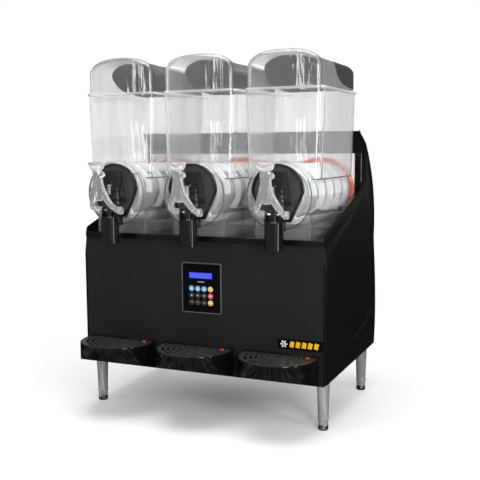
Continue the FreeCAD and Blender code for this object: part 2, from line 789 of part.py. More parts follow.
def lid_dome(inset):
    """The arched roof of a lid as a solid, drawn in by inset."""
    deck, front = mm("deck_top"), mm("front")
    half = mm("hopper_half") - mm("dome_inset") - inset
    floor = deck + mm("hopper_top") + mm("lid_lift") + mm("lid_flange")
    side = deck + mm("hopper_top") + mm("dome_side") - inset
    crown = side + mm("dome_crown")
    low = front + mm("hopper_front") + 1 + inset
    high = front + mm("hopper_rear") - inset
    if inset > 0:
        floor -= mm("lid_flange")
    edges = lines_through([V(-half, low, side), V(-half, low, floor), V(half, low, floor), V(half, low, side)])
    edges.append(Part.Arc(V(half, low, side), V(0, low, crown), V(-half, low, side)).toShape())
    dome = face_of(edges).extrude(V(0, high - low, 0))
    upright = [edge for edge in dome.Edges
               if abs(edge.Length - (side - floor)) < 0.01 and edge.BoundBox.YLength < 0.01]
    return dome.makeFillet(14 - inset, upright)


def lid_shell():
    """Dome and flange, open underneath."""
    deck, front, over = mm("deck_top"), mm("front"), mm("lid_overhang")
    seat = deck + mm("hopper_top") + mm("lid_lift")
    half = mm("hopper_half")
    low, high = front + mm("hopper_front"), front + mm("hopper_rear")
    rim = rounded_rectangle(half + over, low - over, high + over, mm("hopper_corner") + over, seat)
    flange = Part.Face(rim).extrude(V(0, 0, mm("lid_flange")))
    return flange.fuse(lid_dome(0)).cut(lid_dome(mm("lid_wall")))


def cap_region():
    """The space behind the S-shaped line where a lid's clear front meets its dark rear cap."""
    deck, front = mm("deck_top"), mm("front")
    seat = deck + mm("hopper_top") + mm("lid_lift") + mm("lid_flange")
    roof = seat + 100
    rear = front + mm("hopper_rear") + 20
    edge = [V(0, front + 102, roof - 20), V(0, front + 104, seat + 56), V(0, front + 126, seat + 34),
            V(0, front + 157, seat + 18), V(0, front + 191, seat + 11), V(0, rear, seat + 4)]
    edges = [smooth(edge)] + lines_through([edge[-1], V(0, rear, roof), V(0, front + 102, roof), edge[0]])
    half = mm("hopper_half")
    side = Part.Face(Part.Wire(Part.sortEdges(edges)[0]))
    return side.extrude(V(2 * half, 0, 0)).translated(V(-half, 0, 0))


def auger():
    """Spiral scraper round the drum: a helical blade, three tie bars and a spoked front hub."""
    inner, outer, thick = mm("auger_inner"), mm("auger_outer"), mm("auger_thick")
    start = mm("front") + mm("drum_front") + 14
    length = mm("bulkhead") - mm("seal_thick") - 8 - start
    middle = (inner + outer) / 2
    spine = Part.makeHelix(mm("auger_pitch"), length, middle)
    half, blade = thick / 2, (outer - inner) / 2
    section = Part.makePolygon([
        V(middle - blade, 0, -half), V(middle + blade, 0, -half), V(middle + blade, 0, half),
        V(middle - blade, 0, half), V(middle - blade, 0, -half),
    ])
    spiral = Part.Wire(spine).makePipeShell([section], True, True)
    spiral.rotate(V(), V(1, 0, 0), -90)
    spiral.translate(V(0, start, mm("shaft_axis")))
    z = mm("shaft_axis")
    hub_start = mm("front") + mm("drum_front") - mm("clearance") - mm("hub_thick")
    pieces = []
    for turn in (30, 150, 270):
        bar = block((-5, 5), (hub_start, start + length), (z + inner + 4, z + inner + 10))
        spoke = block((-6, 6), (hub_start, hub_start + mm("hub_thick")), (z + 10, z + inner + 10))
        for piece in (bar, spoke):
            pieces.append(piece.rotate(V(0, 0, z), V(0, 1, 0), turn))
    pieces.append(cylinder_y(18, hub_start, hub_start + mm("hub_thick"), 0, z))
    frame = pieces[0].multiFuse(pieces[1:])
    bore = cylinder_y(mm("shaft_radius"), hub_start, hub_start + mm("hub_thick"), 0, z)
    return frame.fuse(spiral).cut(bore)


def drive_shaft():
    """Steel shaft from the gearmotor through the drum to the auger's hub."""
    start = mm("front") + mm("drum_front") - mm("clearance") - mm("hub_thick")
    end = mm("bulkhead") + mm("bulkhead_gauge") + shaft_grip
    return cylinder_y(mm("shaft_radius"), start, end, 0, mm("shaft_axis"))


# ---- tap -----------------------------------------------------------------------------------------


def shield(grow, start, end):
    """The shield-shaped front plate of a tap: round above, narrowing to a flat foot."""
    z, radius = mm("shaft_axis") + 11, mm("plate_radius") + grow
    foot = mm("deck_top") + 43 - grow
    left = [V(-radius, 0, z - 2), V(-47 - grow, 0, z - 27), V(-29 - grow, 0, foot)]
    right = [V(-point.x, 0, point.z) for point in left]
    edges = [Part.Arc(left[0], V(0, 0, z - 1 + radius), right[0]).toShape()]
    edges += [smooth(left), smooth(right)] + lines_through([left[-1], right[-1]])
    face = Part.Face(Part.Wire(Part.sortEdges(edges)[0]))
    return face.extrude(V(0, end - start, 0)).translated(V(0, start, 0))


def tap_body():
    """Dark tap moulding on the front disc: shield plate, raised housing, spout tube and two ears."""
    disc, y, z = mm("disc_front"), mm("tap_axis"), mm("pivot")
    low, high = mm("spout_bottom"), mm("spout_bottom") + mm("spout_height")
    radius, bore = mm("spout_radius"), mm("spout_bore")
    plate = shield(0, disc - mm("plate_thick"), disc)
    plate = plate.cut(shield(-5, disc - mm("plate_thick"), disc - mm("plate_thick") + 3))
    face = disc - mm("plate_thick") + 3
    axis = mm("shaft_axis")
    outline = [V(-34, face, axis - 17), V(34, face, axis - 17), V(23, face, axis + 51), V(-23, face, axis + 51)]
    housing = face_of(lines_through(outline + outline[:1])).extrude(V(0, -9, 0))
    tube = Part.makeCylinder(radius, high - low, V(0, y, low))
    neck = block((-radius + 3, radius - 3), (y, disc), (mm("deck_top") + 24, high))
    outer = bore + mm("ear_thick")
    ears = block((-outer, outer), (y - 7, y + 7), (high - 4, z)).fuse(
        Part.makeCylinder(7, 2 * outer, V(-outer, y, z), V(1, 0, 0)))
    ears = ears.cut(block((-bore, bore), (y - 20, y + 20), (high, z + 20)))
    body = plate.multiFuse([housing, tube, neck, ears])
    body = body.cut(Part.makeCylinder(bore, z + 10 - low, V(0, y, low)))
    body = body.cut(cylinder_y(9, y, disc, 0, mm("deck_top") + 36))
    pin_bore = mm("pin_radius") + mm("running_fit")
    pin_hole = Part.makeCylinder(pin_bore, 4 * outer, V(-2 * outer, y, z), V(1, 0, 0))
    return max(body.cut(pin_hole).Solids, key=lambda solid: solid.Volume)


def tap_piston():
    """Plunger that closes the spout, with a slotted stem for the handle's pin."""
    y, low = mm("tap_axis"), mm("spout_bottom")
    radius, slot = mm("piston_radius"), mm("pin_radius") + mm("clearance")
    shoulder = mm("pivot") - 14
    plunger = Part.makeCylinder(radius, shoulder - low - 4, V(0, y, low + 4))
    stem = Part.makeCylinder(mm("stem_half"), mm("deck_top") + mm("stem_top") - low - 4, V(0, y, low + 4))
    top = max(stem.Edges, key=lambda edge: edge.CenterOfMass.z)
    stem = stem.makeFillet(3, [top])
    plunger = plunger.makeFillet(2, [max(plunger.Edges, key=lambda edge: edge.CenterOfMass.z)])
    z, lift = mm("pivot"), mm("piston_lift")
    slot_path = block((-20, 20), (y - slot, y + slot), (z - lift, z))
    slot_path = slot_path.multiFuse([
        Part.makeCylinder(slot, 40, V(-20, y, z), V(1, 0, 0)),
        Part.makeCylinder(slot, 40, V(-20, y, z - lift), V(1, 0, 0)),
    ])
    return plunger.fuse(stem).cut(slot_path)


def tap_handle():
    """Clear lever: two eyes round the pin, a fork over the spout, a flat shaft and an oval grip."""
    y, z = mm("tap_axis"), mm("pivot")
    eye = 9
    under = [V(0, y, z - eye), V(0, y - 20, z - 7), V(0, y - 41, z + 15), V(0, y - 48, z + 42),
             V(0, y - 52, z + 92)]
    over = [V(0, y - 38, z + 92), V(0, y - 35, z + 42), V(0, y - 28, z + 22), V(0, y - 14, z + 10),
            V(0, y, z + eye)]
    edges = [smooth(under), smooth(over)] + lines_through([under[-1], over[0]])
    edges.append(Part.Arc(over[-1], V(0, y + eye, z), under[0]).toShape())
    side = Part.Face(Part.Wire(Part.sortEdges(edges)[0])).extrude(V(100, 0, 0)).translated(V(-50, 0, 0))
    leg_out, leg_in = mm("pin_length") / 2, mm("spout_radius") + 1.5
    outline = [V(leg_out, 0, z - eye), V(leg_out, 0, z + 6), V(22, 0, z + 25), V(15, 0, z + 45),
               V(11.5, 0, z + 70), V(11, 0, z + 92)]
    mirrored = [V(-point.x, 0, point.z) for point in outline]
    notch = [V(-leg_in, 0, z - eye), V(-leg_in, 0, z + 12), V(-9, 0, z + 29)]
    notch_back = [V(-point.x, 0, point.z) for point in notch]
    edges = [smooth(outline[1:]), smooth(mirrored[1:])]
    edges += lines_through(outline[:2]) + lines_through(mirrored[:2])
    edges += lines_through([outline[-1], mirrored[-1]])
    edges += lines_through([mirrored[0]] + notch)
    edges += lines_through([outline[0]] + notch_back)
    edges.append(Part.Arc(notch[-1], V(0, 0, z + 36), notch_back[-1]).toShape())
    face = Part.Face(Part.Wire(Part.sortEdges(edges)[0]))
    front_view = face.extrude(V(0, -150, 0)).translated(V(0, y + 40, 0))
    lever = side.common(front_view)
    grip = Part.makeCylinder(9, 24, V(-12, y - 48, z + 100), V(1, 0, 0)).multiFuse([
        Part.makeSphere(9, V(side_x, y - 48, z + 100)) for side_x in (-12, 12)
    ])
    pin_hole = Part.makeCylinder(mm("pin_radius"), 100, V(-50, y, z), V(1, 0, 0))
    return lever.fuse(grip).cut(pin_hole)


def handle_pin():
    length = mm("pin_length")
    pin = Part.makeCylinder(mm("pin_radius"), length, V(-length / 2, mm("tap_axis"), mm("pivot")), V(1, 0, 0))
    return pin


# ---- drip tray -----------------------------------------------------------------------------------


def tray_back_half(inset):
    """Half the width of a drip tray where its back wall stands against the front panel."""
    return math.sqrt((mm("tray_radius") - inset) ** 2 - (mm("tray_round_depth") - 1 - inset) ** 2)


def tray_plan(inset, z):
    """The plan of a drip tray: most of a circle, cut off straight along the panel."""
    centre, back = mm("front") - mm("tray_round_depth"), mm("front") - 1 - inset
    nose, half = V(0, centre - mm("tray_radius") + inset, z), tray_back_half(inset)
    left, right = V(-half, back, z), V(half, back, z)
    return face_of([Part.Arc(right, nose, left).toShape()] + lines_through([left, right]))


def above_slope(offset):
    """Everything above the tray's rising underside, moved up by offset."""
    low, front, slope = mm("leg_height") + offset, mm("front"), mm("tray_slope")
    reach, half = 2 * mm("tray_reach"), mm("bowl_pitch")
    points = [V(-half, front, low), V(-half, front - reach, low + slope * reach),
              V(-half, front - reach, low + 400), V(-half, front, low + 400)]
    return face_of(lines_through(points + points[:1])).extrude(V(2 * half, 0, 0))


def drip_tray():
    """Black tray with a sloping floor, hung on two studs of the front panel."""
    low, top, wall = mm("leg_height"), mm("tray_rim"), mm("tray_wall")
    outside = tray_plan(0, low).extrude(V(0, 0, top - low)).common(above_slope(0))
    inside = tray_plan(wall, low).extrude(V(0, 0, top - low)).common(above_slope(wall))
    back = mm("front") - 1
    upstand = block((-tray_back_half(0), tray_back_half(0)), (back - wall, back),
                    (top, top + mm("tray_back_rise")))
    tray = outside.cut(inside).fuse(upstand)
    ledge = tray_plan(wall, top - mm("grille_thick") - 3).extrude(V(0, 0, 3))
    ledge = ledge.cut(tray_plan(wall + 3, top - 10).extrude(V(0, 0, 20)))
    tray = tray.fuse(ledge)
    for side in (-1, 1):
        x = side * mm("tray_radius") / 2
        hole = cylinder_y(mm("stud_radius") + mm("clearance"), back - wall, back, x, low + mm("stud_height"))
        tray = tray.cut(hole)
    return tray


def drip_grille():
    """Lift-out plate with rings of curved slots round a centre hole, and the float's hole."""
    top, thick, width = mm("tray_rim"), mm("grille_thick"), mm("slot_width")
    y = mm("front") - mm("tray_round_depth")
    plate = tray_plan(mm("tray_wall") + 0.5, top - thick).extrude(V(0, 0, thick))
    field = tray_plan(mm("tray_wall") + 9, top - thick - 1).extrude(V(0, 0, thick + 2))
    rings = []
    for ring in range(int(mm("slot_rings"))):
        radius = mm("slot_first") + ring * mm("slot_step")
        outer = Part.makeCylinder(radius + width, thick, V(0, y, top - thick))
        rings.append(outer.cut(Part.makeCylinder(radius, thick, V(0, y, top - thick))))
    slots = rings[0].multiFuse(rings[1:])
    for turn in range(0, 180, 30):
        bridge = block((-2.5, 2.5), (y - 200, y + 200), (top - thick, top))
        slots = slots.cut(bridge.rotate(V(0, y, 0), V(0, 0, 1), turn + 15))
    x, stem_y = mm("float_side"), mm("front") - mm("float_depth")
    boss = Part.makeCylinder(10, thick, V(x, stem_y, top - thick))
    slots = slots.common(field).cut(boss)
    centre = Part.makeCylinder(8, thick, V(0, y, top - thick))
    stem_hole = Part.makeCylinder(mm("float_stem_radius") + mm("clearance"), thick, V(x, stem_y, top - thick))
    return plate.cut(slots).cut(centre).cut(stem_hole)


def level_float():
    """Red float that rises through the grille when the tray is full."""
    x, y = mm("float_side"), mm("front") - mm("float_depth")
    reach = mm("float_depth") + mm("float_radius")
    floor = mm("leg_height") + mm("tray_wall") + mm("tray_slope") * reach + 1
    bulb = Part.makeCylinder(mm("float_radius"), 20, V(x, y, floor))
    stem = Part.makeCylinder(mm("float_stem_radius"), mm("tray_rim") + 2 - floor, V(x, y, floor))
    stem = stem.makeFillet(1.5, [max(stem.Edges, key=lambda edge: edge.CenterOfMass.z)])
    return bulb.fuse(stem)


lid = lid_shell()
REPEATED = {
    "bowl": bowl(),
    "tap_body": tap_body(),
    "lid": lid.cut(cap_region()),
    "lid_cap": lid.common(cap_region()),
    "auger": auger(),
    "drive_shaft": drive_shaft(),
    "tap_handle": tap_handle(),
    "handle_pin": handle_pin(),
    "tap_piston": tap_piston(),
    "drip_tray": drip_tray(),
    "drip_grille": drip_grille(),
    "tray_float": level_float(),
}
for number in (1, 2, 3):
    for label, shape in REPEATED.items():
        shaped(f"{label}_{number}", shape, (bowl_x(number), 0, 0))

# Studs on the front panel that the drip trays hang on.
studs = [
    rod(f"Stud{number}{index}", "stud_radius", f"({number} - 2) * bowl_pitch {side} tray_radius / 2",
        "front - stud_length", "leg_height + stud_height", "stud_length", along="y")
    for number in (1, 2, 3)
    for index, side in enumerate("-+")
]
keep(group("TrayStuds", studs), "tray_studs")

# ---- check and write -----------------------------------------------------------------------------

doc.recompute()
faults = [obj.Name for obj in doc.Objects if {"Invalid", "Error"} & set(obj.State)]
for obj in parts:
    if obj.Shape.isNull() or not obj.Shape.isValid() or not obj.Shape.Solids:
        faults.append(obj.Label)
if faults:
    raise SystemExit(f"not built: {faults}")
os.makedirs("parts", exist_ok=True)
for obj in parts:
    obj.Shape.exportStep(f"parts/{obj.Label}.step")
whole = FreeCAD.BoundBox()
for obj in parts:
    whole.add(obj.Shape.BoundBox)
print(len(parts), "nodes", whole)
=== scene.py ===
import bmesh
import bpy
import json
import math
import numpy as np
from mathutils import Matrix, Vector


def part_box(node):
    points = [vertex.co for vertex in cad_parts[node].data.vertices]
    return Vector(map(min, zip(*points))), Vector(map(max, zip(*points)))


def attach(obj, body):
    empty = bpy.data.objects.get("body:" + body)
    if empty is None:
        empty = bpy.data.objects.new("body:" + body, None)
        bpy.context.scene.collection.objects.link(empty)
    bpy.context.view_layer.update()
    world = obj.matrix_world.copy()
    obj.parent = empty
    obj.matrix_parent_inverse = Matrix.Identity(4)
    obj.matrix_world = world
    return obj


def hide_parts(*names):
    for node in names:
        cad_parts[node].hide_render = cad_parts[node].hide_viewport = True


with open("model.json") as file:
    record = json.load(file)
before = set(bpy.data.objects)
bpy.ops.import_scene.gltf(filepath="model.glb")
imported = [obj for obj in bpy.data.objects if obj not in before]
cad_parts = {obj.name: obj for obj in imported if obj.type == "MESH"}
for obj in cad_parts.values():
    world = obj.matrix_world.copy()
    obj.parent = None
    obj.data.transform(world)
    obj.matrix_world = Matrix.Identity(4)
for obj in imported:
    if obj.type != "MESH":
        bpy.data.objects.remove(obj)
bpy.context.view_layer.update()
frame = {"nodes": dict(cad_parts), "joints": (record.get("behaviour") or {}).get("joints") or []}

# ---- camera, lights and floor --------------------------------------------------------------------
# A customer's view from the right of the taps, a little above the bowls. Soft panels stand on both
# sides and overhead, as in a product studio, and the floor fades into a white surround.

AZIMUTH, ELEVATION, ROLL = math.radians(23.41), math.radians(6.52), math.radians(-0.35)
back = Vector((
    math.sin(AZIMUTH) * math.cos(ELEVATION),
    -math.cos(AZIMUTH) * math.cos(ELEVATION),
    math.sin(ELEVATION),
))
level = Vector((0, 0, 1)).cross(back).normalized()
upward = back.cross(level)
right = math.cos(ROLL) * level + math.sin(ROLL) * upward
top = math.cos(ROLL) * upward - math.sin(ROLL) * level
camera_data = bpy.data.cameras.new("camera")
camera_data.sensor_width = 36
camera_data.lens = 59.8
camera = bpy.data.objects.new("camera", camera_data)
camera.matrix_world = Matrix.Translation((0.7808, -1.7233, 0.6053)) @ Matrix((right, top, back)).transposed().to_4x4()
bpy.context.scene.collection.objects.link(camera)
bpy.context.scene.camera = camera

bpy.context.scene.view_settings.view_transform = "Standard"
bpy.context.scene.cycles.max_bounces = 24
bpy.context.scene.cycles.transmission_bounces = 24
bpy.context.scene.cycles.transparent_max_bounces = 24


def soft_panel(name, place, target, width, height, watts):
    """A rectangular studio lamp that faces the target."""
    data = bpy.data.lights.new(name, "AREA")
    data.shape = "RECTANGLE"
    data.size, data.size_y = width, height
    data.energy = watts
    lamp = bpy.data.objects.new(name, data)
    lamp.location = place
    lamp.rotation_euler = (Vector(target) - Vector(place)).to_track_quat("-Z", "Y").to_euler()
    lamp.visible_camera = False
    lamp.visible_transmission = False
    bpy.context.scene.collection.objects.link(lamp)


middle = (0, 0, 0.45)
soft_panel("key_left", (-2.1, -1.5, 1.3), middle, 0.8, 1.6, 7)
soft_panel("fill_right", (1.15, -1.3, 0.70), (0.2, -0.2, 0.3), 0.4, 0.6, 14)
for index, side in enumerate((-1.262, -0.831, -0.400)):
    soft_panel(f"strip_high_{index}", (side, -2.02, 0.957), (0, 0, 0.8), 0.03, 0.17, 0.22)
    soft_panel(f"strip_low_{index}", (side, -2.02, 0.60), (0, 0, 0.5), 0.03, 0.28, 0.14)
soft_panel("strip_right", (2.3, -0.9, 0.9), middle, 0.16, 1.8, 14)
soft_panel("overhead", (0.1, -0.3, 2.3), middle, 1.7, 1.3, 52)
soft_panel("rear_wash", (-0.6, 2.2, 1.4), middle, 1.8, 1.2, 24)

LIT_SURROUND, SEEN_SURROUND = 0.24, 1.0


def seen_directly(tree, low, high):
    """A strength that is high where the camera sees it, also through clear plastic, and low elsewhere."""
    path = tree.nodes.new("ShaderNodeLightPath")
    seen = tree.nodes.new("ShaderNodeMath")
    seen.operation = "MAXIMUM"
    tree.links.new(path.outputs["Is Camera Ray"], seen.inputs[0])
    tree.links.new(path.outputs["Is Transmission Ray"], seen.inputs[1])
    strength = tree.nodes.new("ShaderNodeMapRange")
    strength.inputs["To Min"].default_value = low
    strength.inputs["To Max"].default_value = high
    tree.links.new(seen.outputs[0], strength.inputs["Value"])
    return strength.outputs[0]


world = bpy.data.worlds.new("surround")
bpy.context.scene.world = world
world.use_nodes = True
tree = world.node_tree
tree.nodes.clear()
heading = tree.nodes.new("ShaderNodeTexCoord")
height = tree.nodes.new("ShaderNodeSeparateXYZ")
tree.links.new(heading.outputs["Generated"], height.inputs[0])
ceiling = tree.nodes.new("ShaderNodeMapRange")
ceiling.inputs["From Min"].default_value = 0.15
ceiling.inputs["From Max"].default_value = 0.55
ceiling.inputs["To Min"].default_value = 1.0
ceiling.inputs["To Max"].default_value = 0.5
tree.links.new(height.outputs["Z"], ceiling.inputs["Value"])
surround = tree.nodes.new("ShaderNodeBackground")
tree.links.new(ceiling.outputs[0], surround.inputs["Color"])
tree.links.new(seen_directly(tree, LIT_SURROUND, SEEN_SURROUND), surround.inputs["Strength"])
backdrop = tree.nodes.new("ShaderNodeBackground")
lens_path = tree.nodes.new("ShaderNodeLightPath")
chosen = tree.nodes.new("ShaderNodeMixShader")
tree.links.new(lens_path.outputs["Is Camera Ray"], chosen.inputs[0])
tree.links.new(surround.outputs[0], chosen.inputs[1])
tree.links.new(backdrop.outputs[0], chosen.inputs[2])
backdrop.inputs["Color"].default_value = (1, 1, 1, 1)
tree.links.new(chosen.outputs[0], tree.nodes.new("ShaderNodeOutputWorld").inputs["Surface"])

floor_data = bpy.data.meshes.new("floor")
floor_data.from_pydata([(-9, -9, 0), (9, -9, 0), (9, 9, 0), (-9, 9, 0)], [], [(0, 1, 2, 3)])
floor = bpy.data.objects.new("floor", floor_data)
bpy.context.scene.collection.objects.link(floor)
paper = bpy.data.materials.new("studio_paper")
paper.use_nodes = True
nodes, links = paper.node_tree.nodes, paper.node_tree.links
nodes.clear()
coords = nodes.new("ShaderNodeTexCoord")
spread = nodes.new("ShaderNodeVectorMath")
spread.operation = "LENGTH"
links.new(coords.outputs["Object"], spread.inputs[0])
fade = nodes.new("ShaderNodeMapRange")
fade.interpolation_type = "SMOOTHSTEP"
fade.inputs["From Min"].default_value = -0.2
fade.inputs["From Max"].default_value = 1.1
links.new(spread.outputs["Value"], fade.inputs["Value"])
matt = nodes.new("ShaderNodeBsdfDiffuse")
matt.inputs["Color"].default_value = (0.93, 0.93, 0.93, 1)
glow = nodes.new("ShaderNodeEmission")
links.new(seen_directly(paper.node_tree, LIT_SURROUND, SEEN_SURROUND), glow.inputs["Strength"])
blend = nodes.new("ShaderNodeMixShader")
links.new(fade.outputs[0], blend.inputs[0])
links.new(matt.outputs[0], blend.inputs[1])
links.new(glow.outputs[0], blend.inputs[2])
# Painted reflection: glossy rays see the floor in front of the machine as a faint glow in streaky noise patches. Gloss
# trays and panels then show painted streaks of reflected light. The camera and other rays see only the plain floor.
painted_reflection_glow = nodes.new("ShaderNodeEmission")
lanes = nodes.new("ShaderNodeMapping")
lanes.inputs["Scale"].default_value = (11, 0.5, 1)
links.new(coords.outputs["Object"], lanes.inputs["Vector"])
patches = nodes.new("ShaderNodeTexNoise")
patches.inputs["Detail"].default_value = 1.5
links.new(lanes.outputs[0], patches.inputs["Vector"])
glints = nodes.new("ShaderNodeMapRange")
glints.inputs["From Min"].default_value = 0.50
glints.inputs["From Max"].default_value = 0.60
glints.inputs["To Min"].default_value = 0.015
glints.inputs["To Max"].default_value = 0.8
links.new(patches.outputs["Fac"], glints.inputs["Value"])
depth = nodes.new("ShaderNodeSeparateXYZ")
links.new(coords.outputs["Object"], depth.inputs[0])
ahead = nodes.new("ShaderNodeMapRange")
ahead.inputs["From Min"].default_value = -0.1
ahead.inputs["From Max"].default_value = -0.3
ahead.inputs["To Min"].default_value = 0.11
links.new(depth.outputs["Y"], ahead.inputs["Value"])
shared = nodes.new("ShaderNodeMath")
shared.operation = "MULTIPLY"
links.new(glints.outputs[0], shared.inputs[0])
links.new(ahead.outputs[0], shared.inputs[1])
links.new(shared.outputs[0], painted_reflection_glow.inputs["Strength"])
bounce = nodes.new("ShaderNodeLightPath")
shown = nodes.new("ShaderNodeMixShader")
links.new(bounce.outputs["Is Glossy Ray"], shown.inputs[0])
links.new(blend.outputs[0], shown.inputs[1])
links.new(painted_reflection_glow.outputs[0], shown.inputs[2])
links.new(shown.outputs[0], nodes.new("ShaderNodeOutputMaterial").inputs["Surface"])
floor_data.materials.append(paper)

# ---- side panels ---------------------------------------------------------------------------------
# Two thick mouldings in black satin plastic. Each sweeps up at the back into a fin, has a broad
# chamfer along that sweep, and stands out a little behind a crease low down. They hold the case.

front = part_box("front_panel")[0].y
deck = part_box("top_deck")[1].z
joint = {entry["name"]: entry for entry in frame["joints"]}
case_low, case_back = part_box("base_pan")[0].z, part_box("side_panel_right")[1].y


def wear_group():
    """Shared surface effect: slow drift of colour and roughness, and a fine moulded grain."""
    group = bpy.data.node_groups.new("surface_wear", "ShaderNodeTree")
    for name, kind, value in (
        ("Vector", "NodeSocketVector", None),
        ("Colour", "NodeSocketColor", (0.5, 0.5, 0.5, 1)),
        ("Drift", "NodeSocketFloat", 0.1),
        ("Roughness", "NodeSocketFloat", 0.4),
        ("Spread", "NodeSocketFloat", 0.1),
        ("Scale", "NodeSocketFloat", 12.0),
        ("Grain Scale", "NodeSocketFloat", 900.0),
    ):
        socket = group.interface.new_socket(name, in_out="INPUT", socket_type=kind)
        if value is not None:
            socket.default_value = value
    for name, kind in (("Colour", "NodeSocketColor"), ("Roughness", "NodeSocketFloat"), ("Height", "NodeSocketFloat")):
        group.interface.new_socket(name, in_out="OUTPUT", socket_type=kind)
    nodes, links = group.nodes, group.links
    source, result = nodes.new("NodeGroupInput"), nodes.new("NodeGroupOutput")
    broad, fine = nodes.new("ShaderNodeTexNoise"), nodes.new("ShaderNodeTexNoise")
    broad.inputs["Detail"].default_value = 5
    for texture, scale in ((broad, "Scale"), (fine, "Grain Scale")):
        links.new(source.outputs["Vector"], texture.inputs["Vector"])
        links.new(source.outputs[scale], texture.inputs["Scale"])
    centred = nodes.new("ShaderNodeMath")
    centred.operation = "SUBTRACT"
    links.new(broad.outputs["Fac"], centred.inputs[0])
    centred.inputs[1].default_value = 0.5
    shade = nodes.new("ShaderNodeMath")
    shade.operation = "MULTIPLY_ADD"
    links.new(centred.outputs[0], shade.inputs[0])
    links.new(source.outputs["Drift"], shade.inputs[1])
    shade.inputs[2].default_value = 1.0
    tint = nodes.new("ShaderNodeVectorMath")
    tint.operation = "SCALE"
    links.new(source.outputs["Colour"], tint.inputs[0])
    links.new(shade.outputs[0], tint.inputs["Scale"])
    gloss = nodes.new("ShaderNodeMath")
    gloss.operation = "MULTIPLY_ADD"
    links.new(centred.outputs[0], gloss.inputs[0])
    links.new(source.outputs["Spread"], gloss.inputs[1])
    links.new(source.outputs["Roughness"], gloss.inputs[2])
    links.new(tint.outputs[0], result.inputs["Colour"])
    links.new(gloss.outputs[0], result.inputs["Roughness"])
    links.new(fine.outputs["Fac"], result.inputs["Height"])
    return group


surface_wear = wear_group()


def material(name, colour, roughness, drift=0.3, spread=0.2, scale=14.0, grain=0.04, grain_scale=900.0,
             stretch=(1, 1, 1), **shader):
    """A Principled material whose colour, roughness and grain come from the shared group."""
    made = bpy.data.materials.new(name)
    made.use_nodes = True
    made.diffuse_color = (*colour, 1)
    nodes, links = made.node_tree.nodes, made.node_tree.links
    principled = nodes["Principled BSDF"]
    for socket, value in shader.items():
        principled.inputs[socket.replace("_", " ")].default_value = value
    wear = nodes.new("ShaderNodeGroup")
    wear.node_tree = surface_wear
    coords = nodes.new("ShaderNodeTexCoord")
    drawn = nodes.new("ShaderNodeMapping")
    drawn.inputs["Scale"].default_value = stretch
    links.new(coords.outputs["Object"], drawn.inputs["Vector"])
    links.new(drawn.outputs["Vector"], wear.inputs["Vector"])
    for socket, value in (("Colour", (*colour, 1)), ("Drift", drift), ("Roughness", roughness), ("Spread", spread),
                          ("Scale", scale), ("Grain Scale", grain_scale)):
        wear.inputs[socket].default_value = value
    links.new(wear.outputs["Colour"], principled.inputs["Base Color"])
    links.new(wear.outputs["Roughness"], principled.inputs["Roughness"])
    bump = nodes.new("ShaderNodeBump")
    bump.inputs["Strength"].default_value = grain
    bump.inputs["Distance"].default_value = 0.0005
    links.new(wear.outputs["Height"], bump.inputs["Height"])
    links.new(bump.outputs["Normal"], principled.inputs["Normal"])
    return made


def smooth_by_angle(bm, degrees=35):
    for face in bm.faces:
        face.smooth = True
    for edge in bm.edges:
        if len(edge.link_faces) == 2:
            edge.smooth = edge.calc_face_angle(0) < math.radians(degrees)


def piece(name, bm, body, slot_name, *materials, replaces=(), angle=35):
    """Turns a bmesh into a finished piece on a body, shaded so that its large faces stay flat."""
    smooth_by_angle(bm, angle)
    rough = bpy.data.meshes.new(name)
    bm.to_mesh(rough)
    bm.free()
    made = bpy.data.objects.new(name, rough)
    bpy.context.scene.collection.objects.link(made)
    shading = made.modifiers.new("flat_faces", "WEIGHTED_NORMAL")
    shading.keep_sharp = True
    shading.weight = 100
    graph = bpy.context.evaluated_depsgraph_get()
    data = bpy.data.meshes.new_from_object(made.evaluated_get(graph))
    made.modifiers.clear()
    made.data = data
    bpy.data.meshes.remove(rough)
    for entry in materials:
        data.materials.append(entry)
    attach(made, body)
    if replaces:
        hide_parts(*replaces)
    return made


def smoothstep(low, high, value):
    share = np.clip((value - low) / (high - low), 0, 1)
    return share * share * (3 - 2 * share)


def distance_to(lines, y, z):
    """Distance from points to the nearest of the line's stretches, all in one upright plane."""
    best = np.full(y.shape, 9.0)
    for (y0, z0), (y1, z1) in zip(lines[:-1], lines[1:]):
        run, rise = y1 - y0, z1 - z0
        share = np.clip(((y - y0) * run + (z - z0) * rise) / max(run * run + rise * rise, 1e-12), 0, 1)
        best = np.minimum(best, np.hypot(y - y0 - share * run, z - z0 - share * rise))
    return best


def cad_mesh(node):
    """A merged copy of a node's mesh, with its flat faces whole."""
    bm = bmesh.new()
    bm.from_mesh(frame["nodes"][node].data)
    bmesh.ops.remove_doubles(bm, verts=bm.verts, dist=1e-5)
    bmesh.ops.dissolve_limit(bm, angle_limit=math.radians(0.4), verts=bm.verts, edges=bm.edges)
    return bm


def side_outline():
    """The side panel's outline in (y, z), starting at its lowest front point and going up the front."""
    bm = cad_mesh("side_panel_right")
    outer = max((face for face in bm.faces if face.normal.x > 0.9), key=lambda face: face.calc_area())
    points = [(vert.co.y, vert.co.z) for vert in outer.verts]
    bm.free()
    start = min(range(len(points)), key=lambda index: points[index][0] + points[index][1])
    points = points[start:] + points[:start]
    if points[1][1] < points[-1][1]:
        points = points[:1] + points[:0:-1]
    return points


outline = side_outline()
tip = max(range(len(outline)), key=lambda index: outline[index][1])
front_edge, back_edge = outline[: tip + 1], outline[tip:] + outline[:1]


def resample(line, step):
    points = np.array(line)
    along = np.concatenate([[0], np.cumsum(np.hypot(*np.diff(points, axis=0).T))])
    spots = np.linspace(0, along[-1], int(along[-1] / step) + 1)
    return np.stack([np.interp(spots, along, points[:, 0]), np.interp(spots, along, points[:, 1])], axis=1)


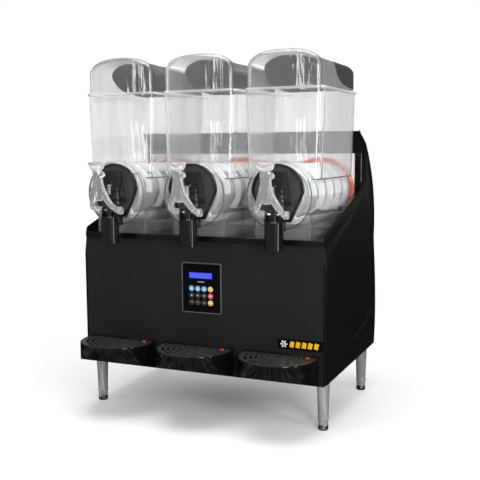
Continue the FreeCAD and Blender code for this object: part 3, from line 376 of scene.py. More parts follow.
def side_panel(side):
    low = resample(front_edge, 0.0045)
    heights = low[:, 1].copy()
    heights[-1] -= 0.0004
    rear = np.array(back_edge[::-1])
    rear_y = np.interp(heights, rear[1:, 1], rear[1:, 0])
    columns = 46
    share = 0.5 - 0.5 * np.cos(np.linspace(0, math.pi, columns))
    y = low[:, :1] + (rear_y[:, None] - low[:, :1]) * share[None, :]
    z = np.repeat(heights[:, None], columns, axis=1)
    inner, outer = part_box("side_panel_right")[0].x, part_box("side_panel_right")[1].x
    thick = outer - inner
    corner = 0.0085
    edge = distance_to(outline + outline[:1], y, z)
    lying = 1 - np.sqrt(np.clip(1 - (1 - np.clip(edge / corner, 0, 1)) ** 2, 0, 1))
    sweep = [point for point in front_edge if point[1] > deck]
    reach = np.interp(y, [front, front + 0.29], [0.055, 0.018])
    chamfer = np.clip(1 - distance_to(sweep, y, z) / reach, 0, 1)
    crease = [(front + 0.100, case_low - 0.02), (front + 0.142, 0.153), (front + 0.25, 0.168), (front + 0.33, 0.188),
              (front + 0.368, 0.205), (front + 0.389, 0.24), (front + 0.398, 0.285), (front + 0.402, 0.36)]
    crease_y = np.interp(z, [point[1] for point in crease], [point[0] for point in crease])
    crease_z = np.interp(y, [point[0] for point in crease], [point[1] for point in crease])
    behind = smoothstep(-0.004, 0.006, np.minimum(y - crease_y, crease_z - z) * 0.8)
    fade_in = smoothstep(front + 0.13, front + 0.24, y)
    relief = 0.0035 * (1 - behind * fade_in)
    x = outer - thick * 0.94 * lying - relief * smoothstep(0, 0.03, edge) - 0.0065 * chamfer
    x = np.maximum(x, inner + 0.04 * thick)
    bm = bmesh.new()
    outside, inside = [], []
    for row in range(len(heights)):
        outside.append([bm.verts.new((side * x[row, c], y[row, c], z[row, c])) for c in range(columns)])
        inside.append([bm.verts.new((side * inner, y[row, c], z[row, c])) for c in range(columns)])
    for row in range(len(heights) - 1):
        for column in range(columns - 1):
            for skin in (outside, inside):
                quad = [skin[row][column], skin[row][column + 1], skin[row + 1][column + 1], skin[row + 1][column]]
                bm.faces.new(quad if skin is outside else quad[::-1])
    rim_out = outside[0] + [row[-1] for row in outside[1:]] + outside[-1][-2::-1] + [row[0] for row in outside[-2:0:-1]]
    rim_in = inside[0] + [row[-1] for row in inside[1:]] + inside[-1][-2::-1] + [row[0] for row in inside[-2:0:-1]]
    for index in range(len(rim_out)):
        following = (index + 1) % len(rim_out)
        bm.faces.new((rim_out[following], rim_out[index], rim_in[index], rim_in[following]))
    bmesh.ops.remove_doubles(bm, verts=bm.verts, dist=2e-5)
    bmesh.ops.recalc_face_normals(bm, faces=bm.faces)
    return bm


case_satin = material("case_satin", (0.0045, 0.0045, 0.005), 0.33, spread=0.14, grain=0.10, grain_scale=1400,
                      Specular_IOR_Level=0.10)
for name, side in (("side_panel_left", -1), ("side_panel_right", 1)):
    piece(name + "_moulding", side_panel(side), "chassis", "case_black", case_satin, replaces=[name], angle=50)

# ---- front panel, deck, hood, bulkhead and back --------------------------------------------------
# Powder-coated sheet in front and behind, a gloss moulded deck with a rounded lip, a curved black
# hood between the fins and the white bulkhead under it. The sheets are folded and screwed.


def refined(node, body, slot_name, finish, width, segments=3, angle=35):
    """A node's own shape with its sharp edges rounded, as a moulded or pressed piece has them."""
    bm = cad_mesh(node)
    sharp = [edge for edge in bm.edges
             if len(edge.link_faces) == 2 and edge.calc_face_angle(0) > math.radians(angle)]
    bmesh.ops.bevel(bm, geom=sharp, offset=width, segments=segments, affect="EDGES", profile=0.5,
                    clamp_overlap=True)
    bmesh.ops.remove_doubles(bm, verts=bm.verts, dist=1e-6)
    return piece(node + "_shell", bm, body, slot_name, finish, replaces=[node])


panel_coat = material("panel_coat", (0.0125, 0.0125, 0.013), 0.42, spread=0.1, grain=0.16, grain_scale=2200,
                      Specular_IOR_Level=0.3)
deck_gloss = material("deck_gloss", (0.004, 0.004, 0.005), 0.16, spread=0.1, grain=0.02, Specular_IOR_Level=0.35)
bulkhead_white = material("bulkhead_white", (0.8, 0.82, 0.83), 0.4, drift=0.05, grain=0.05)
back_coat = material("back_coat", (0.02, 0.02, 0.021), 0.45, grain=0.15, grain_scale=2000)
refined("front_panel", "chassis", "front_black", panel_coat, 0.0005, 2)
refined("top_deck", "chassis", "deck_black", deck_gloss, 0.0024, 4)
refined("rear_hood", "chassis", "case_black", case_satin, 0.0008, 2)
refined("evaporator_bulkhead", "chassis", "bulkhead_white", bulkhead_white, 0.0006, 2)
refined("rear_panel", "chassis", "pan_steel", back_coat, 0.0004, 1)
refined("base_pan", "chassis", "pan_steel", back_coat, 0.0005, 1)


# ---- louvred trims -------------------------------------------------------------------------------
# A narrow black moulding at each end of the white bulkhead hides the folded sheet beside the outer
# seals. Its slats are one run of slanted bars that lets warm air out of the motor room.


def node_tree(name, inputs):
    """An empty geometry tree with named number inputs, and its group input and output."""
    tree = bpy.data.node_groups.new(name, "GeometryNodeTree")
    for label, value in inputs.items():
        kind = "NodeSocketInt" if isinstance(value, int) else "NodeSocketFloat"
        tree.interface.new_socket(label, in_out="INPUT", socket_type=kind).default_value = value
    tree.interface.new_socket("Geometry", in_out="OUTPUT", socket_type="NodeSocketGeometry")
    return tree, tree.nodes.new("NodeGroupInput"), tree.nodes.new("NodeGroupOutput")


def grown(tree):
    """Runs a geometry tree and gives back its result as a bmesh."""
    holder = bpy.data.objects.new("holder", bpy.data.meshes.new("holder"))
    bpy.context.scene.collection.objects.link(holder)
    modifier = holder.modifiers.new("grow", "NODES")
    modifier.node_group = tree
    for item in tree.interface.items_tree:
        if item.in_out == "INPUT":
            modifier[item.identifier] = item.default_value
    graph = bpy.context.evaluated_depsgraph_get()
    data = bpy.data.meshes.new_from_object(holder.evaluated_get(graph))
    holder.modifiers.remove(modifier)
    bm = bmesh.new()
    bm.from_mesh(data)
    bpy.data.meshes.remove(data)
    bpy.data.objects.remove(holder)
    bmesh.ops.remove_doubles(bm, verts=bm.verts, dist=1e-6)
    bmesh.ops.recalc_face_normals(bm, faces=bm.faces)
    return bm


def ending(tree, source, result, finish):
    """Closes a tree with Realize Instances and Set Material."""
    real = tree.nodes.new("GeometryNodeRealizeInstances")
    colour = tree.nodes.new("GeometryNodeSetMaterial")
    colour.inputs["Material"].default_value = finish
    tree.links.new(source, real.inputs[0])
    tree.links.new(real.outputs[0], colour.inputs[0])
    tree.links.new(colour.outputs[0], result.inputs[0])


def joined(parts):
    """Several meshes as one."""
    whole = bmesh.new()
    for part in parts:
        data = bpy.data.meshes.new("part")
        part.to_mesh(data)
        part.free()
        whole.from_mesh(data)
        bpy.data.meshes.remove(data)
    return whole


def bevelled(bm, edges, width, segments):
    bmesh.ops.bevel(bm, geom=edges, offset=width, segments=segments, affect="EDGES", profile=0.5,
                    clamp_overlap=True)


def bar(start, end, half_width, half_depth, corner=0.0012):
    """A straight bar with rounded edges from start to end."""
    bm = bmesh.new()
    bmesh.ops.create_cube(bm, size=1)
    length = (end - start).length
    bmesh.ops.scale(bm, verts=bm.verts, vec=(2 * half_width, 2 * half_depth, length))
    bevelled(bm, bm.edges[:], corner, 2)
    turn = (end - start).to_track_quat("Z", "Y").to_matrix()
    bmesh.ops.rotate(bm, verts=bm.verts, cent=(0, 0, 0), matrix=turn)
    bmesh.ops.translate(bm, verts=bm.verts, vec=(start + end) / 2)
    return bm


bulkhead_low, bulkhead_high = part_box("evaporator_bulkhead")
trim_half, trim_thick = 0.0077, 0.0022
trim_x = bulkhead_high.x - trim_half + 0.0003
trim_foot, trim_top = bulkhead_low.z + 0.002, bulkhead_high.z + 0.0006
slat_step = 0.0085
tree, given, result = node_tree("louvre_slats", {
    "Count": int((trim_top - trim_foot - 0.02) / slat_step), "Step": slat_step,
    "Width": 2 * trim_half - 0.0032, "Height": 0.0050, "Thickness": 0.0011, "Tilt": math.radians(38),
})
line = tree.nodes.new("GeometryNodeMeshLine")
rise = tree.nodes.new("ShaderNodeCombineXYZ")
tree.links.new(given.outputs["Step"], rise.inputs["Z"])
tree.links.new(given.outputs["Count"], line.inputs["Count"])
tree.links.new(rise.outputs[0], line.inputs["Offset"])
slat = tree.nodes.new("GeometryNodeMeshCube")
slat_size = tree.nodes.new("ShaderNodeCombineXYZ")
for axis, label in zip("XYZ", ("Width", "Thickness", "Height")):
    tree.links.new(given.outputs[label], slat_size.inputs[axis])
tree.links.new(slat_size.outputs[0], slat.inputs["Size"])
lean = tree.nodes.new("ShaderNodeCombineXYZ")
tree.links.new(given.outputs["Tilt"], lean.inputs["X"])
slats = tree.nodes.new("GeometryNodeInstanceOnPoints")
tree.links.new(line.outputs[0], slats.inputs["Points"])
tree.links.new(slat.outputs["Mesh"], slats.inputs["Instance"])
tree.links.new(lean.outputs[0], slats.inputs["Rotation"])
ending(tree, slats.outputs[0], result, case_satin)
for name, side in (("bulkhead_trim_left", -1), ("bulkhead_trim_right", 1)):
    run = grown(tree)
    bmesh.ops.translate(run, verts=run.verts, vec=(side * trim_x, bulkhead_low.y - 0.0038, trim_foot + 0.012))
    middle_y = bulkhead_low.y - trim_thick / 2 - 0.0001
    strip = bar(Vector((side * trim_x, middle_y, trim_foot)), Vector((side * trim_x, middle_y, trim_top)),
                trim_half, trim_thick / 2, 0.0006)
    piece(name, joined([strip, run]), "chassis", "case_black", case_satin)

# ---- legs ----------------------------------------------------------------------------------------
# Four turned tubes in brushed steel, wider at the top, with a collar above a screwed-in foot.
# They carry the pan at its corners.


def turned(profile, centre, segments=48, along="z"):
    """A closed turned shape round an upright or a front-to-back line, from (radius, height) points."""
    bm = bmesh.new()
    rings = []
    for radius, height in profile:
        ring = []
        for step in range(segments):
            angle = 2 * math.pi * step / segments
            across, up = radius * math.cos(angle), radius * math.sin(angle)
            spot = (across, up, height) if along == "z" else (across, height, up)
            ring.append(bm.verts.new(Vector(centre) + Vector(spot)))
        rings.append(ring)
    for lower, upper in zip(rings[:-1], rings[1:]):
        for step in range(segments):
            following = (step + 1) % segments
            bm.faces.new((lower[step], lower[following], upper[following], upper[step]))
    bm.faces.new(rings[0][::-1])
    bm.faces.new(rings[-1])
    bmesh.ops.recalc_face_normals(bm, faces=bm.faces)
    return bm


leg_steel = material("leg_steel", (0.80, 0.80, 0.81), 0.16, drift=0.1, spread=0.08, scale=30, grain=0.05, grain_scale=300,
                     stretch=(1, 1, 0.06), Metallic=0.7)
foot_steel = material("foot_steel", (0.6, 0.6, 0.61), 0.24, drift=0.1, spread=0.08, grain=0.04, Metallic=1.0)
foot_rubber = material("foot_rubber", (0.02, 0.02, 0.02), 0.6, grain=0.1)
foot_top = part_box("leg_feet")[1].z
leg_low, leg_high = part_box("leg_feet"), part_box("legs")
leg_x = leg_high[1].x - 0.014
leg_rows = [leg_high[0].y + 0.014, leg_high[1].y - 0.014]
leg_spots = [(x, y) for x in (-leg_x, leg_x) for y in leg_rows]
leg_profile = [(0.0102, 0), (0.0108, 0.0006), (0.0109, 0.010), (0.0121, 0.0112), (0.0121, 0.0158), (0.0113, 0.0172),
               (0.0138, case_low - foot_top - 0.006), (0.014, case_low - foot_top - 0.0004),
               (0.0136, case_low - foot_top)]
legs = [turned(leg_profile, (x, y, foot_top)) for x, y in leg_spots]
piece("leg_tubes", joined(legs), "chassis", "leg_steel", leg_steel, replaces=["legs"], angle=25)
foot_profile = [(0.0094, 0.0012), (0.0106, 0.0016), (0.0112, 0.0030), (0.0112, 0.0056), (0.0108, 0.0060),
                (0.0108, 0.0066), (0.0112, 0.0070), (0.0112, 0.0094), (0.0104, 0.0104), (0.0095, foot_top)]
feet = [turned(foot_profile, (x, y, 0)) for x, y in leg_spots]
piece("foot_pads", joined(feet), "chassis", "foot_steel", foot_steel, replaces=["leg_feet"], angle=25)
sole_profile = [(0.0098, 0), (0.0104, 0.0004), (0.0104, 0.0012), (0.0090, 0.0015)]
soles = [turned(sole_profile, (x, y, 0)) for x, y in leg_spots]
piece("foot_soles", joined(soles), "chassis", "foot_steel", foot_rubber, angle=25)

# ---- cold drums and seals ------------------------------------------------------------------------
# Three spun steel drums stick out of the bulkhead, each with an orange silicone ring at its root
# that the bowl's open end presses on.

drum_steel = material("drum_steel", (0.46, 0.47, 0.48), 0.36, drift=0.06, spread=0.1, scale=30, grain=0.05,
                      Metallic=0.4)
seal_orange = material("seal_silicone", (0.78, 0.10, 0.022), 0.42, drift=0.4, grain=0.05)
refined("evaporator_drums", "chassis", "drum_steel", drum_steel, 0.0004, 1)
refined("bowl_seals", "chassis", "seal_orange", seal_orange, 0.0008, 3)

# ---- clear bowls ---------------------------------------------------------------------------------
# Each bowl is one clear polycarbonate moulding: a tapered hopper, a lying barrel with a thick round
# front edge, and a skirt that stands on the deck.


def clear_material(name, colour, roughness, clear=0.93, grain=0.45, grain_scale=60, **shader):
    """Clear plastic that lets the lamps through, with a faint haze drawn out along the moulding."""
    made = material(name, colour, roughness, drift=0.34, spread=0.08, scale=26, grain=grain, grain_scale=grain_scale,
                    stretch=(1, 1, 0.16), Transmission_Weight=clear, **shader)
    nodes, links = made.node_tree.nodes, made.node_tree.links
    path = nodes.new("ShaderNodeLightPath")
    through = nodes.new("ShaderNodeBsdfTransparent")
    through.inputs["Color"].default_value = (0.93, 0.93, 0.93, 1)
    blend = nodes.new("ShaderNodeMixShader")
    links.new(path.outputs["Is Shadow Ray"], blend.inputs[0])
    links.new(nodes["Principled BSDF"].outputs[0], blend.inputs[1])
    links.new(through.outputs[0], blend.inputs[2])
    links.new(blend.outputs[0], nodes["Material Output"].inputs["Surface"])
    return made


def moved(source, offset):
    copy = source.copy()
    bmesh.ops.translate(copy, verts=copy.verts, vec=offset)
    return copy


NUMBERS = (1, 2, 3)
bowl_x = {n: 0.5 * (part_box(f"drip_tray_{n}")[0].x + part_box(f"drip_tray_{n}")[1].x) for n in NUMBERS}
shaft_z = 0.5 * (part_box("bowl_seals")[0].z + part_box("bowl_seals")[1].z)
disc_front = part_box("bowl_1")[0].y
bowl_clear = clear_material("bowl_polycarbonate", (0.87, 0.875, 0.88), 0.03, clear=0.94, IOR=1.5)
for n in NUMBERS:
    bm = cad_mesh(f"bowl_{n}")
    sharp = [edge for edge in bm.edges if len(edge.link_faces) == 2 and edge.calc_face_angle(0) > math.radians(35)]
    bevelled(bm, sharp, 0.0008, 2)
    piece(f"bowl_{n}_moulding", bm, f"bowl_{n}", "bowl_clear", bowl_clear, replaces=[f"bowl_{n}"])

# ---- augers --------------------------------------------------------------------------------------
# A translucent white spiral scraper turns round each drum. It is moulded in one piece with three
# tie bars and a spoked hub, on a steel drive shaft.


auger_white = material("auger_acetal", (0.76, 0.77, 0.775), 0.3, drift=0.05, spread=0.1, scale=20, grain=0.04,
                       Transmission_Weight=0.12, IOR=1.48)
auger_low, auger_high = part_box("auger_1")
auger_radius = 0.5 * (auger_high.x - auger_low.x)
tree, given, result = node_tree("auger_spiral", {
    "Turns": (auger_high.y - auger_low.y - 0.026) / 0.06,
    "Radius": auger_radius - 0.007,
    "Length": auger_high.y - auger_low.y - 0.026,
    "Blade": 0.014,
    "Thickness": 0.0066,
})
spiral = tree.nodes.new("GeometryNodeCurveSpiral")
spiral.inputs["Resolution"].default_value = 72
tree.links.new(given.outputs["Turns"], spiral.inputs["Rotations"])
tree.links.new(given.outputs["Radius"], spiral.inputs["Start Radius"])
tree.links.new(given.outputs["Radius"], spiral.inputs["End Radius"])
tree.links.new(given.outputs["Length"], spiral.inputs["Height"])
upright = tree.nodes.new("GeometryNodeSetCurveNormal")
upright.mode = "Z_UP"
tree.links.new(spiral.outputs[0], upright.inputs["Curve"])
section = tree.nodes.new("GeometryNodeCurvePrimitiveQuadrilateral")
tree.links.new(given.outputs["Blade"], section.inputs["Width"])
tree.links.new(given.outputs["Thickness"], section.inputs["Height"])
rounded = tree.nodes.new("GeometryNodeFilletCurve")
rounded.mode = "POLY"
rounded.inputs["Radius"].default_value = 0.0016
rounded.inputs["Count"].default_value = 3
tree.links.new(section.outputs[0], rounded.inputs["Curve"])
sweep = tree.nodes.new("GeometryNodeCurveToMesh")
sweep.inputs["Fill Caps"].default_value = True
tree.links.new(upright.outputs[0], sweep.inputs["Curve"])
tree.links.new(rounded.outputs[0], sweep.inputs["Profile Curve"])
ending(tree, sweep.outputs[0], result, auger_white)
blade = grown(tree)
bmesh.ops.rotate(blade, verts=blade.verts, cent=(0, 0, 0), matrix=Matrix.Rotation(math.radians(-90), 3, "X"))
bmesh.ops.translate(blade, verts=blade.verts, vec=(0, auger_low.y + 0.026, shaft_z))
bmesh.ops.recalc_face_normals(blade, faces=blade.faces)


hub_back = auger_low.y + 0.008
hub = turned([(0.0081, 0), (0.017, 0), (0.018, 0.001), (0.018, 0.007), (0.017, 0.008), (0.0081, 0.008)],
             (0, auger_low.y, shaft_z), along="y")
frame_parts = [blade, hub]
for angle in (30, 150, 270):
    out = Vector((math.sin(math.radians(angle)), 0, math.cos(math.radians(angle))))
    centre = Vector((0, 0, shaft_z))
    root = centre + out * (auger_radius - 0.0105)
    frame_parts.append(bar(root + Vector((0, auger_low.y, 0)), root + Vector((0, auger_high.y - 0.001, 0)),
                           0.0040, 0.0022))
    spoke_y = Vector((0, auger_low.y + 0.004, 0))
    frame_parts.append(bar(centre + out * 0.012 + spoke_y, root + out * 0.0015 + spoke_y, 0.0055, 0.0036))
auger = joined(frame_parts)
shaft_steel = material("shaft_steel", (0.6, 0.6, 0.61), 0.25, scale=60, Metallic=1.0)
for n in NUMBERS:
    offset = (bowl_x[n], 0, 0)
    piece(f"auger_{n}_spiral", moved(auger, offset), f"auger_{n}", "auger_white", auger_white,
          replaces=[f"auger_{n}"])
    refined(f"drive_shaft_{n}", f"auger_{n}", "shaft_steel", shaft_steel, 0.0006, 2)
auger.free()

# ---- lids ----------------------------------------------------------------------------------------
# A domed lid sits on each hopper: a clear front with a rounded edge and a flange all round, and a
# smoke-black rear cap that meets it along a flowing line.

lid_low, lid_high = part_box("lid_1")
lid_middle = 0.5 * (lid_low.x + lid_high.x)
flange_thick = 0.005
dome_half = 0.5 * (lid_high.x - lid_low.x) - 0.008
dome_front = lid_low.y + 0.004
dome_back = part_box("lid_cap_1")[1].y
dome_foot = lid_low.z
shoulder = 0.044
dome_wall = 0.0025


def dome_profile(inset, drop, steps=44):
    """Points of one upright slice of the dome, from its right foot over the crown to its left foot."""
    half, crown = dome_half - inset, lid_high.z - inset - drop
    base = dome_foot + shoulder
    rise = crown - base
    points = [(half, dome_foot)]
    for step in range(steps + 1):
        angle = math.pi * step / steps
        across, up = math.cos(angle), math.sin(angle)
        power = 2 / 2.5
        points.append((half * math.copysign(abs(across) ** power, across), base + rise * abs(up) ** power))
    return points + [(-half, dome_foot)]


def dome(inset):
    """A solid dome that is drawn in by inset, with a rounded front edge and a sloping back."""
    front_round, back_long, back_tall, back_side = 0.013, 0.045, 0.022, 0.012
    low, high = dome_front + inset, dome_back - inset
    stations = []
    for step in range(9):
        turn = math.pi / 2 * step / 8
        stations.append((low + front_round * (1 - math.cos(turn)), front_round * (1 - math.sin(turn)), 0))
    stations.append((high - back_long, 0, 0))
    for step in range(1, 9):
        turn = math.pi / 2 * step / 8
        away = high - back_long + back_long * math.sin(turn)
        side = max(0, (away - (high - back_side)) / back_side)
        stations.append((away, back_side * (1 - math.sqrt(max(0, 1 - side * side))) * 0.8,
                         back_tall * (1 - math.cos(turn))))
    bm = bmesh.new()
    rings = []
    for y, around, drop in stations:
        rings.append([bm.verts.new((x, y, z)) for x, z in dome_profile(inset + around, drop)])
    count = len(rings[0])
    for near, far in zip(rings[:-1], rings[1:]):
        for step in range(count):
            following = (step + 1) % count
            bm.faces.new((near[step], far[step], far[following], near[following]))
    bm.faces.new(rings[0])
    bm.faces.new(rings[-1][::-1])
    bmesh.ops.recalc_face_normals(bm, faces=bm.faces)
    return bm


def solid(name, bm):
    data = bpy.data.meshes.new(name)
    bm.to_mesh(data)
    bm.free()
    made = bpy.data.objects.new(name, data)
    bpy.context.scene.collection.objects.link(made)
    return made


def combined(base, *steps):
    """A solid after exact booleans with others; gives back a bmesh and leaves no helper behind."""
    for index, (operation, other) in enumerate(steps):
        modifier = base.modifiers.new(f"step_{index}", "BOOLEAN")
        modifier.operation = operation
        modifier.solver = "EXACT"
        modifier.object = other
    graph = bpy.context.evaluated_depsgraph_get()
    data = bpy.data.meshes.new_from_object(base.evaluated_get(graph))
    bm = bmesh.new()
    bm.from_mesh(data)
    bpy.data.meshes.remove(data)
    base.modifiers.clear()
    return bm


def rounded_plate(half, low, high, corner, floor, roof, steps=8):
    """A level plate with rounded corners and softened rims."""
    bm = bmesh.new()
    rim = []
    spots = ((half, high, 0), (-half, high, 90), (-half, low, 180), (half, low, 270))
    for x, y, start in spots:
        centre = (x - math.copysign(corner, x), y - (corner if y == high else -corner))
        for step in range(steps + 1):
            angle = math.radians(start + 90 * step / steps)
            rim.append((centre[0] + corner * math.cos(angle), centre[1] + corner * math.sin(angle)))
    lower = [bm.verts.new((x, y, floor)) for x, y in rim]
    upper = [bm.verts.new((x, y, roof)) for x, y in rim]
    for step in range(len(rim)):
        following = (step + 1) % len(rim)
        bm.faces.new((lower[step], lower[following], upper[following], upper[step]))
    bm.faces.new(lower[::-1])
    bm.faces.new(upper)
    around = [edge for edge in bm.edges if abs(edge.verts[0].co.z - edge.verts[1].co.z) < 1e-6]
    bevelled(bm, around, 0.0014, 3)
    bmesh.ops.recalc_face_normals(bm, faces=bm.faces)
    return bm


seam = [(front + 0.102, lid_high.z + 0.01), (front + 0.1025, lid_high.z - 0.004), (front + 0.107, dome_foot + 0.052),
        (front + 0.122, dome_foot + 0.035), (front + 0.15, dome_foot + 0.021), (front + 0.191, dome_foot + 0.014),
        (front + 0.3, dome_foot + 0.009)]


def behind_seam(grow=0.0):
    """A wide block of everything behind the line where a lid's clear front meets its rear cap."""
    curve = bpy.data.curves.new("seam", "CURVE")
    curve.dimensions = "3D"
    spline = curve.splines.new("NURBS")
    spline.points.add(len(seam) - 1)
    for spot, (y, z) in zip(spline.points, seam):
        spot.co = (0, y + grow, z + grow, 1)
    spline.use_endpoint_u = True
    spline.order_u = 3
    holder = bpy.data.objects.new("seam", curve)
    bpy.context.scene.collection.objects.link(holder)
    line = bpy.data.meshes.new_from_object(holder)
    points = [tuple(vert.co)[1:] for vert in line.vertices]
    bpy.data.objects.remove(holder)
    points += [(front + 0.32, points[-1][1]), (front + 0.32, points[0][1])]
    bm = bmesh.new()
    sides = [[bm.verts.new((x, y, z)) for y, z in points] for x in (-0.12, 0.12)]
    for step in range(len(points)):
        following = (step + 1) % len(points)
        bm.faces.new((sides[0][step], sides[0][following], sides[1][following], sides[1][step]))
    bm.faces.new(sides[0][::-1])
    bm.faces.new(sides[1])
    bmesh.ops.recalc_face_normals(bm, faces=bm.faces)
    return bm


dome_inside = dome(dome_wall)
for vert in dome_inside.verts:
    if vert.co.z < dome_foot + 1e-6:
        vert.co.z -= 0.01
flange = rounded_plate(dome_half + 0.008, lid_low.y, dome_back + 0.003, 0.021, dome_foot, dome_foot + flange_thick)
helpers = {
    "dome": solid("dome", dome(0)),
    "hollow": solid("hollow", dome_inside),
    "flange": solid("flange", flange),
    "behind": solid("behind", behind_seam()),
}
arch = [Vector((x, dome_front + 0.0075, z)) for x, z in dome_profile(0.0062, 0)]
rib = bmesh.new()
rib_rings = []
for index, spot in enumerate(arch):
    along = (arch[min(index + 1, len(arch) - 1)] - arch[max(index - 1, 0)]).normalized()
    inward = along.cross(Vector((0, 1, 0)))
    rib_rings.append([
        rib.verts.new(spot + 0.0021 * (math.cos(turn) * inward + math.sin(turn) * Vector((0, 1, 0))))
        for turn in (2 * math.pi * step / 10 for step in range(10))
    ])
for near, far in zip(rib_rings[:-1], rib_rings[1:]):
    for step in range(10):
        rib.faces.new((near[step], near[(step + 1) % 10], far[(step + 1) % 10], far[step]))
rib.faces.new(rib_rings[0][::-1])
rib.faces.new(rib_rings[-1])
bmesh.ops.recalc_face_normals(rib, faces=rib.faces)
whole = solid("whole", combined(helpers["dome"], ("UNION", helpers["flange"]), ("DIFFERENCE", helpers["hollow"])))
lid_front = combined(whole, ("DIFFERENCE", helpers["behind"]))
lid_back = combined(whole, ("INTERSECT", helpers["behind"]))
bpy.data.objects.remove(whole)
for helper in helpers.values():
    bpy.data.objects.remove(helper)
lid_front = joined([lid_front, rib])
for face in lid_front.faces:
    spot = face.calc_center_median()
    level_face = dome_foot - 0.0002 < spot.z < dome_foot + flange_thick + 0.0002
    if level_face and (abs(spot.x) > dome_half + 0.002 or spot.y < dome_front - 0.001):
        face.material_index = 1
lid_rim = clear_material("lid_rim", (0.93, 0.935, 0.94), 0.12, clear=0.55, IOR=1.5)
lid_clear = clear_material("lid_polycarbonate", (0.87, 0.875, 0.88), 0.03, clear=0.955, IOR=1.5)
cap_black = material("cap_gloss", (0.006, 0.006, 0.007), 0.14, spread=0.08, grain=0.02)
for n in NUMBERS:
    offset = (bowl_x[n], 0, 0)
    piece(f"lid_{n}_dome", moved(lid_front, offset), f"lid_{n}", "lid_clear", lid_clear, lid_rim,
          replaces=[f"lid_{n}"], angle=30)
    piece(f"lid_{n}_cap", moved(lid_back, offset), f"lid_{n}", "cap_black", cap_black,
          replaces=[f"lid_cap_{n}"], angle=30)
lid_front.free()
lid_back.free()

# ---- taps ----------------------------------------------------------------------------------------
# A gloss black shield with a raised rim is screwed to each bowl's front disc. A plunger with a coil
# spring round its stem closes the spout, and a clear forked lever on a steel pin lifts it.

tap_gloss = material("tap_gloss", (0.006, 0.006, 0.007), 0.13, spread=0.1, grain=0.03)
tap_field = material("tap_field", (0.04, 0.04, 0.042), 0.38, spread=0.1, grain=0.12, grain_scale=1600)
spring_steel = material("spring_steel", (0.62, 0.62, 0.63), 0.22, scale=80, Metallic=1.0)
piston_black = material("piston_gloss", (0.012, 0.012, 0.012), 0.10, spread=0.08, grain=0.02)
lever_clear = clear_material("lever_acrylic", (0.97, 0.97, 0.975), 0.03, clear=0.86, grain=0.9, grain_scale=170,
                             IOR=1.49)

tap_axis = 0.5 * (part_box("tap_piston_1")[0].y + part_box("tap_piston_1")[1].y)
pivot_z = 0.5 * (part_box("handle_pin_1")[0].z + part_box("handle_pin_1")[1].z)
tap_face = disc_front - 0.007


def coil(radius, wire, length, turns):
    """A coil spring along +Z that starts at the origin, grown by a geometry tree."""
    tree, given, result = node_tree("valve_spring", {
        "Turns": float(turns), "Radius": radius, "Length": length, "Wire": wire,
    })
    spiral = tree.nodes.new("GeometryNodeCurveSpiral")
    spiral.inputs["Resolution"].default_value = 20
    tree.links.new(given.outputs["Turns"], spiral.inputs["Rotations"])
    tree.links.new(given.outputs["Radius"], spiral.inputs["Start Radius"])
    tree.links.new(given.outputs["Radius"], spiral.inputs["End Radius"])
    tree.links.new(given.outputs["Length"], spiral.inputs["Height"])
    ring = tree.nodes.new("GeometryNodeCurvePrimitiveCircle")
    ring.inputs["Resolution"].default_value = 8
    tree.links.new(given.outputs["Wire"], ring.inputs["Radius"])
    sweep = tree.nodes.new("GeometryNodeCurveToMesh")
    sweep.inputs["Fill Caps"].default_value = True
    tree.links.new(spiral.outputs[0], sweep.inputs["Curve"])
    tree.links.new(ring.outputs[0], sweep.inputs["Profile Curve"])
    ending(tree, sweep.outputs[0], result, spring_steel)
    return grown(tree)


def oval_ring(centre, across, up_vector, half_wide, half_deep, bm, count=20):
    """A ring of points round a centre, for lofting a lever's limb."""
    deep = across.cross(up_vector).normalized()
    ring = []
    for step in range(count):
        angle = 2 * math.pi * step / count
        spread, depth = math.cos(angle), math.sin(angle)
        power = 0.8
        ring.append(bm.verts.new(
            centre + across * half_wide * math.copysign(abs(spread) ** power, spread)
            + deep * half_deep * math.copysign(abs(depth) ** power, depth)
        ))
    return ring


def limb(stations):
    """A closed tapering limb through (centre, half width, half depth) stations."""
    bm = bmesh.new()
    rings = []
    for index, (centre, wide, deep) in enumerate(stations):
        before = stations[max(index - 1, 0)][0]
        after = stations[min(index + 1, len(stations) - 1)][0]
        along = (Vector(after) - Vector(before)).normalized()
        rings.append(oval_ring(Vector(centre), Vector((1, 0, 0)), along, wide, deep, bm))
    count = len(rings[0])
    for near, far in zip(rings[:-1], rings[1:]):
        for step in range(count):
            following = (step + 1) % count
            bm.faces.new((near[step], near[following], far[following], far[step]))
    bm.faces.new(rings[0][::-1])
    bm.faces.new(rings[-1])
    bmesh.ops.recalc_face_normals(bm, faces=bm.faces)
    return bm


